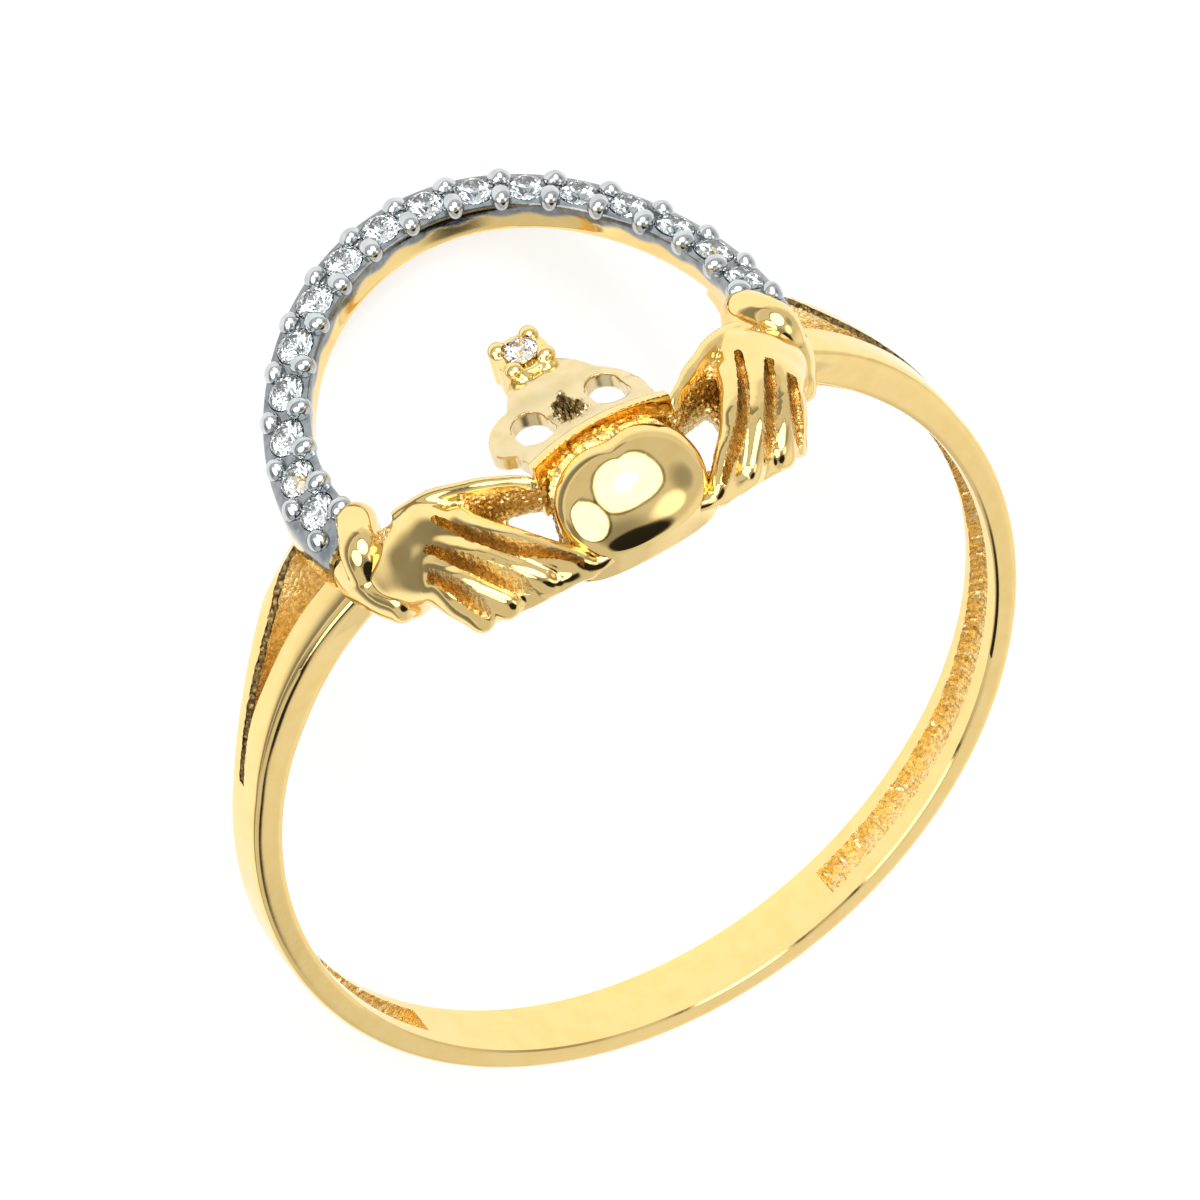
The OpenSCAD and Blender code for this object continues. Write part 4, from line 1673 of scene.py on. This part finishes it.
    def build(self, f: Finishes) -> list[bpy.types.Object]:
        """Builds and dresses the crown.

        Args:
            f: The ring's finishes.

        Returns:
            The finished pieces.
        """
        pieces = [dressed(self.plate(), f.satin), dressed(self.strip(), f.polished),
                  dressed(self.collet(), f.polished)]
        return [laid(smooth(p), Finish.GOLD) for p in pieces]


@dataclass(frozen=True)
class Glow:
    """A soft patch of the studio that is brighter or darker than the rest.

    Attributes:
        azimuth: Its direction in plan, from x towards y, in degrees.
        height: Its angle above the floor, in degrees.
        half: Its half width, in degrees.
        soft: Width of its soft edge, in degrees.
        gain: What it adds to the light.
    """

    azimuth: float
    height: float
    half: float
    soft: float
    gain: float

    def way(self) -> Point:
        """Its direction."""
        a, h = math.radians(self.azimuth), math.radians(self.height)
        return math.cos(a) * math.cos(h), math.sin(a) * math.cos(h), math.sin(h)

    def added_to(self, tree: bpy.types.NodeTree, way: bpy.types.NodeSocket,
                 level: bpy.types.NodeSocket) -> bpy.types.NodeSocket:
        """Adds the patch to the studio's light.

        Args:
            tree: The world's nodes.
            way: The direction that is looked in.
            level: The light so far.

        Returns:
            The light with the patch.
        """
        near = tree.nodes.new("ShaderNodeVectorMath")
        near.operation = "DOT_PRODUCT"
        near.inputs[1].default_value = self.way()
        share = tree.nodes.new("ShaderNodeMapRange")
        share.interpolation_type = "SMOOTHSTEP"
        share.inputs["From Min"].default_value = math.cos(math.radians(self.half + self.soft))
        share.inputs["From Max"].default_value = math.cos(math.radians(max(0.0, self.half - self.soft)))
        share.inputs["To Max"].default_value = self.gain
        total = tree.nodes.new("ShaderNodeMath")
        total.operation = "ADD"
        tree.links.new(way, near.inputs[0])
        tree.links.new(near.outputs["Value"], share.inputs["Value"])
        tree.links.new(level, total.inputs[0])
        tree.links.new(share.outputs["Result"], total.inputs[1])
        return total.outputs[0]


@dataclass(frozen=True)
class Studio:
    """The camera, the floor and the light.

    Attributes:
        place: The camera's place round the finger, in millimetres.
        right: Its right-hand direction.
        down: Its downward direction.
        lens: Its focal length, in millimetres.
        key: Strength of the key light.
        level: The studio's even light.
        backlight: Light that comes through the floor.
        sensor: Width of the camera's sensor, in millimetres.
        clip: Nearest and furthest place that the camera sees, in metres.
        key_angle: How wide the key light is, in degrees.
        least: Least strength of the studio's light.
        tones: The floor's tone in its middle and further out.
        tone_at: Where the one begins to change to the other and where it has, in metres.
        beside: Direction across the photo's frame, in which the floor turns grey.
        bands: Where each change in that direction begins and ends, and what it multiplies by.
        glows: Its brighter and darker patches.
    """

    place: Point = (-41.83969836, -135.37665255, 141.16521308)
    right: Point = (0.8556065568, -0.4747889864, -0.2061864165)
    down: Point = (-0.4724087353, -0.5534212210, -0.6859700715)
    lens: float = 284.45578
    key: float = 0.5
    level: float = 0.72
    backlight: float = 0.54
    sensor: float = 36.0
    clip: tuple[float, float] = (0.01, 10.0)
    key_angle: float = 14
    least: float = 0.02
    tones: tuple[float, float] = (0.55, 0.36)
    tone_at: tuple[float, float] = (0.024, 0.060)
    beside: Point = (0.925, -0.38, 0)
    bands: tuple[Point, ...] = ((0.014, 0.026, 0.22), (0.052, 0.090, 4.5))
    glows: tuple[Glow, ...] = (
        Glow(-100, 45, 30, 1.5, -0.6),
        Glow(-22, 41, 29, 1.5, -0.6),
        Glow(-100, 45, 27, 1.5, 2.5),
        Glow(-22, 41, 26, 1.5, 2.5),
        Glow(170, 62, 14, 4, 0.9),
        Glow(125, 8, 26, 14, 0.3),
        Glow(84, 55, 25, 4, -0.7),
        Glow(35, 72, 22, 12, -0.4),
        Glow(-166, 36, 12, 8, -0.35),
        Glow(3, 6, 14, 8, -0.45),
    )

    def camera(self) -> bpy.types.Object:
        """Makes the camera and sets it as the scene's.

        Returns:
            The camera.
        """
        data = bpy.data.cameras.new("camera")
        data.lens, data.sensor_width = self.lens, self.sensor
        data.clip_start, data.clip_end = self.clip
        camera = bpy.data.objects.new("camera", data)
        bpy.context.collection.objects.link(camera)
        right, up = Vector(self.right), -Vector(self.down)
        turn = Matrix((right, up, right.cross(up))).transposed().to_4x4()
        matrix = LAID @ turn
        matrix.translation = (LAID @ Vector(self.place)) * MM
        camera.matrix_world = matrix
        bpy.context.scene.camera = camera
        return camera

    def share(self, tree: bpy.types.NodeTree, where: bpy.types.NodeSocket, way: Point | None,
              near: float, past: float, least: float | None = None) -> bpy.types.NodeSocket:
        """Adds the nodes of a smooth change across the floor.

        Args:
            tree: The floor's nodes.
            where: The place on the floor.
            way: The direction of the change, or None for outwards.
            near: Where it begins, in metres.
            past: Where it ends.
            least: What 1 changes to; without it 0 changes to 1.

        Returns:
            The changing value.
        """
        far = tree.nodes.new("ShaderNodeVectorMath")
        far.operation = "LENGTH" if way is None else "DOT_PRODUCT"
        if way is not None:
            far.inputs[1].default_value = way
        share = tree.nodes.new("ShaderNodeMapRange")
        share.interpolation_type = "SMOOTHSTEP"
        share.inputs["From Min"].default_value = near
        share.inputs["From Max"].default_value = past
        share.inputs["To Min"].default_value = 0.0 if least is None else 1.0
        share.inputs["To Max"].default_value = 1.0 if least is None else least
        tree.links.new(where, far.inputs[0])
        tree.links.new(far.outputs["Value"], share.inputs["Value"])
        return share.outputs["Result"]

    def floor(self) -> bpy.types.Object:
        """Makes the plain pale floor, just below the ring; it is greyer beside the photo's frame.

        Returns:
            The floor.
        """
        low = CAD_BOX[0][2]
        bpy.ops.mesh.primitive_plane_add(size=4.0, location=(0, 0, low))
        floor = added("floor")
        material = bpy.data.materials.new("floor")
        material.use_nodes = True
        tree = material.node_tree
        shader = tree.nodes["Principled BSDF"]
        shader.inputs["Roughness"].default_value = 0.9
        where = tree.nodes.new("ShaderNodeTexCoord")
        tone = tree.nodes.new("ShaderNodeValToRGB")
        for stop, grey in zip(tone.color_ramp.elements, self.tones):
            stop.color = (grey, grey, grey, 1)
        tree.links.new(self.share(tree, where.outputs["Object"], None, *self.tone_at), tone.inputs["Fac"])
        total = tone.outputs["Color"]
        for near, past, least in self.bands:
            scaled = tree.nodes.new("ShaderNodeVectorMath")
            scaled.operation = "SCALE"
            share = self.share(tree, where.outputs["Object"], self.beside, near, past, least)
            tree.links.new(total, scaled.inputs[0])
            tree.links.new(share, scaled.inputs["Scale"])
            total = scaled.outputs[0]
        # Painted light: the floor glows in its own tone, which lightens the shadow that the ring casts on it.
        shader.inputs["Emission Strength"].default_value = self.backlight / self.tones[0]
        tree.links.new(total, shader.inputs["Base Color"])
        tree.links.new(total, shader.inputs["Emission Color"])
        floor.data.materials.append(material)
        return floor

    def light(self) -> None:
        """Makes the studio's soft light, all round the ring."""
        world = bpy.data.worlds.new("studio")
        world.use_nodes = True
        tree = world.node_tree
        way = tree.nodes.new("ShaderNodeTexCoord").outputs["Generated"]
        level = tree.nodes.new("ShaderNodeValue")
        level.outputs[0].default_value = self.level
        total = level.outputs[0]
        for glow in self.glows:
            total = glow.added_to(tree, way, total)
        least = tree.nodes.new("ShaderNodeMath")
        least.operation = "MAXIMUM"
        least.inputs[1].default_value = self.least
        tree.links.new(total, least.inputs[0])
        tree.links.new(least.outputs[0], tree.nodes["Background"].inputs["Strength"])
        tree.nodes["Background"].inputs["Color"].default_value = (1, 1, 1, 1)
        bpy.context.scene.world = world
        data = bpy.data.lights.new("key", "SUN")
        data.energy, data.angle = self.key, math.radians(self.key_angle)
        key = bpy.data.objects.new("key", data)
        bpy.context.collection.objects.link(key)
        key.rotation_euler = Vector(self.glows[0].way()).to_track_quat("Z", "Y").to_euler()
        bpy.context.scene.view_settings.view_transform = "Standard"

    def build(self) -> None:
        """Makes the camera, the floor and the light."""
        self.camera()
        self.floor()
        self.light()


def dress_stones(f: Finishes) -> None:
    """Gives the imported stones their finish; their shape is kept.

    Args:
        f: The ring's finishes.
    """
    for name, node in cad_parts.items():
        if "stone" in name:
            node.data.materials.clear()
            node.data.materials.append(f.warm if "crown" in name else f.stone)


def main() -> None:
    """Builds the ring and its studio, piece by piece."""
    logging.basicConfig(level=logging.INFO, format="%(name)s: %(message)s")
    Studio().build()
    f = Finishes.made()
    pieces = [Shank().build(f), *Arc().build(f), *Hands().build(f), *Heart().build(f), *Crown().build(f)]
    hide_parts("ring_body")
    dress_stones(f)
    log.info("%d pieces", len(pieces))


if __name__ == "__main__":
    main()
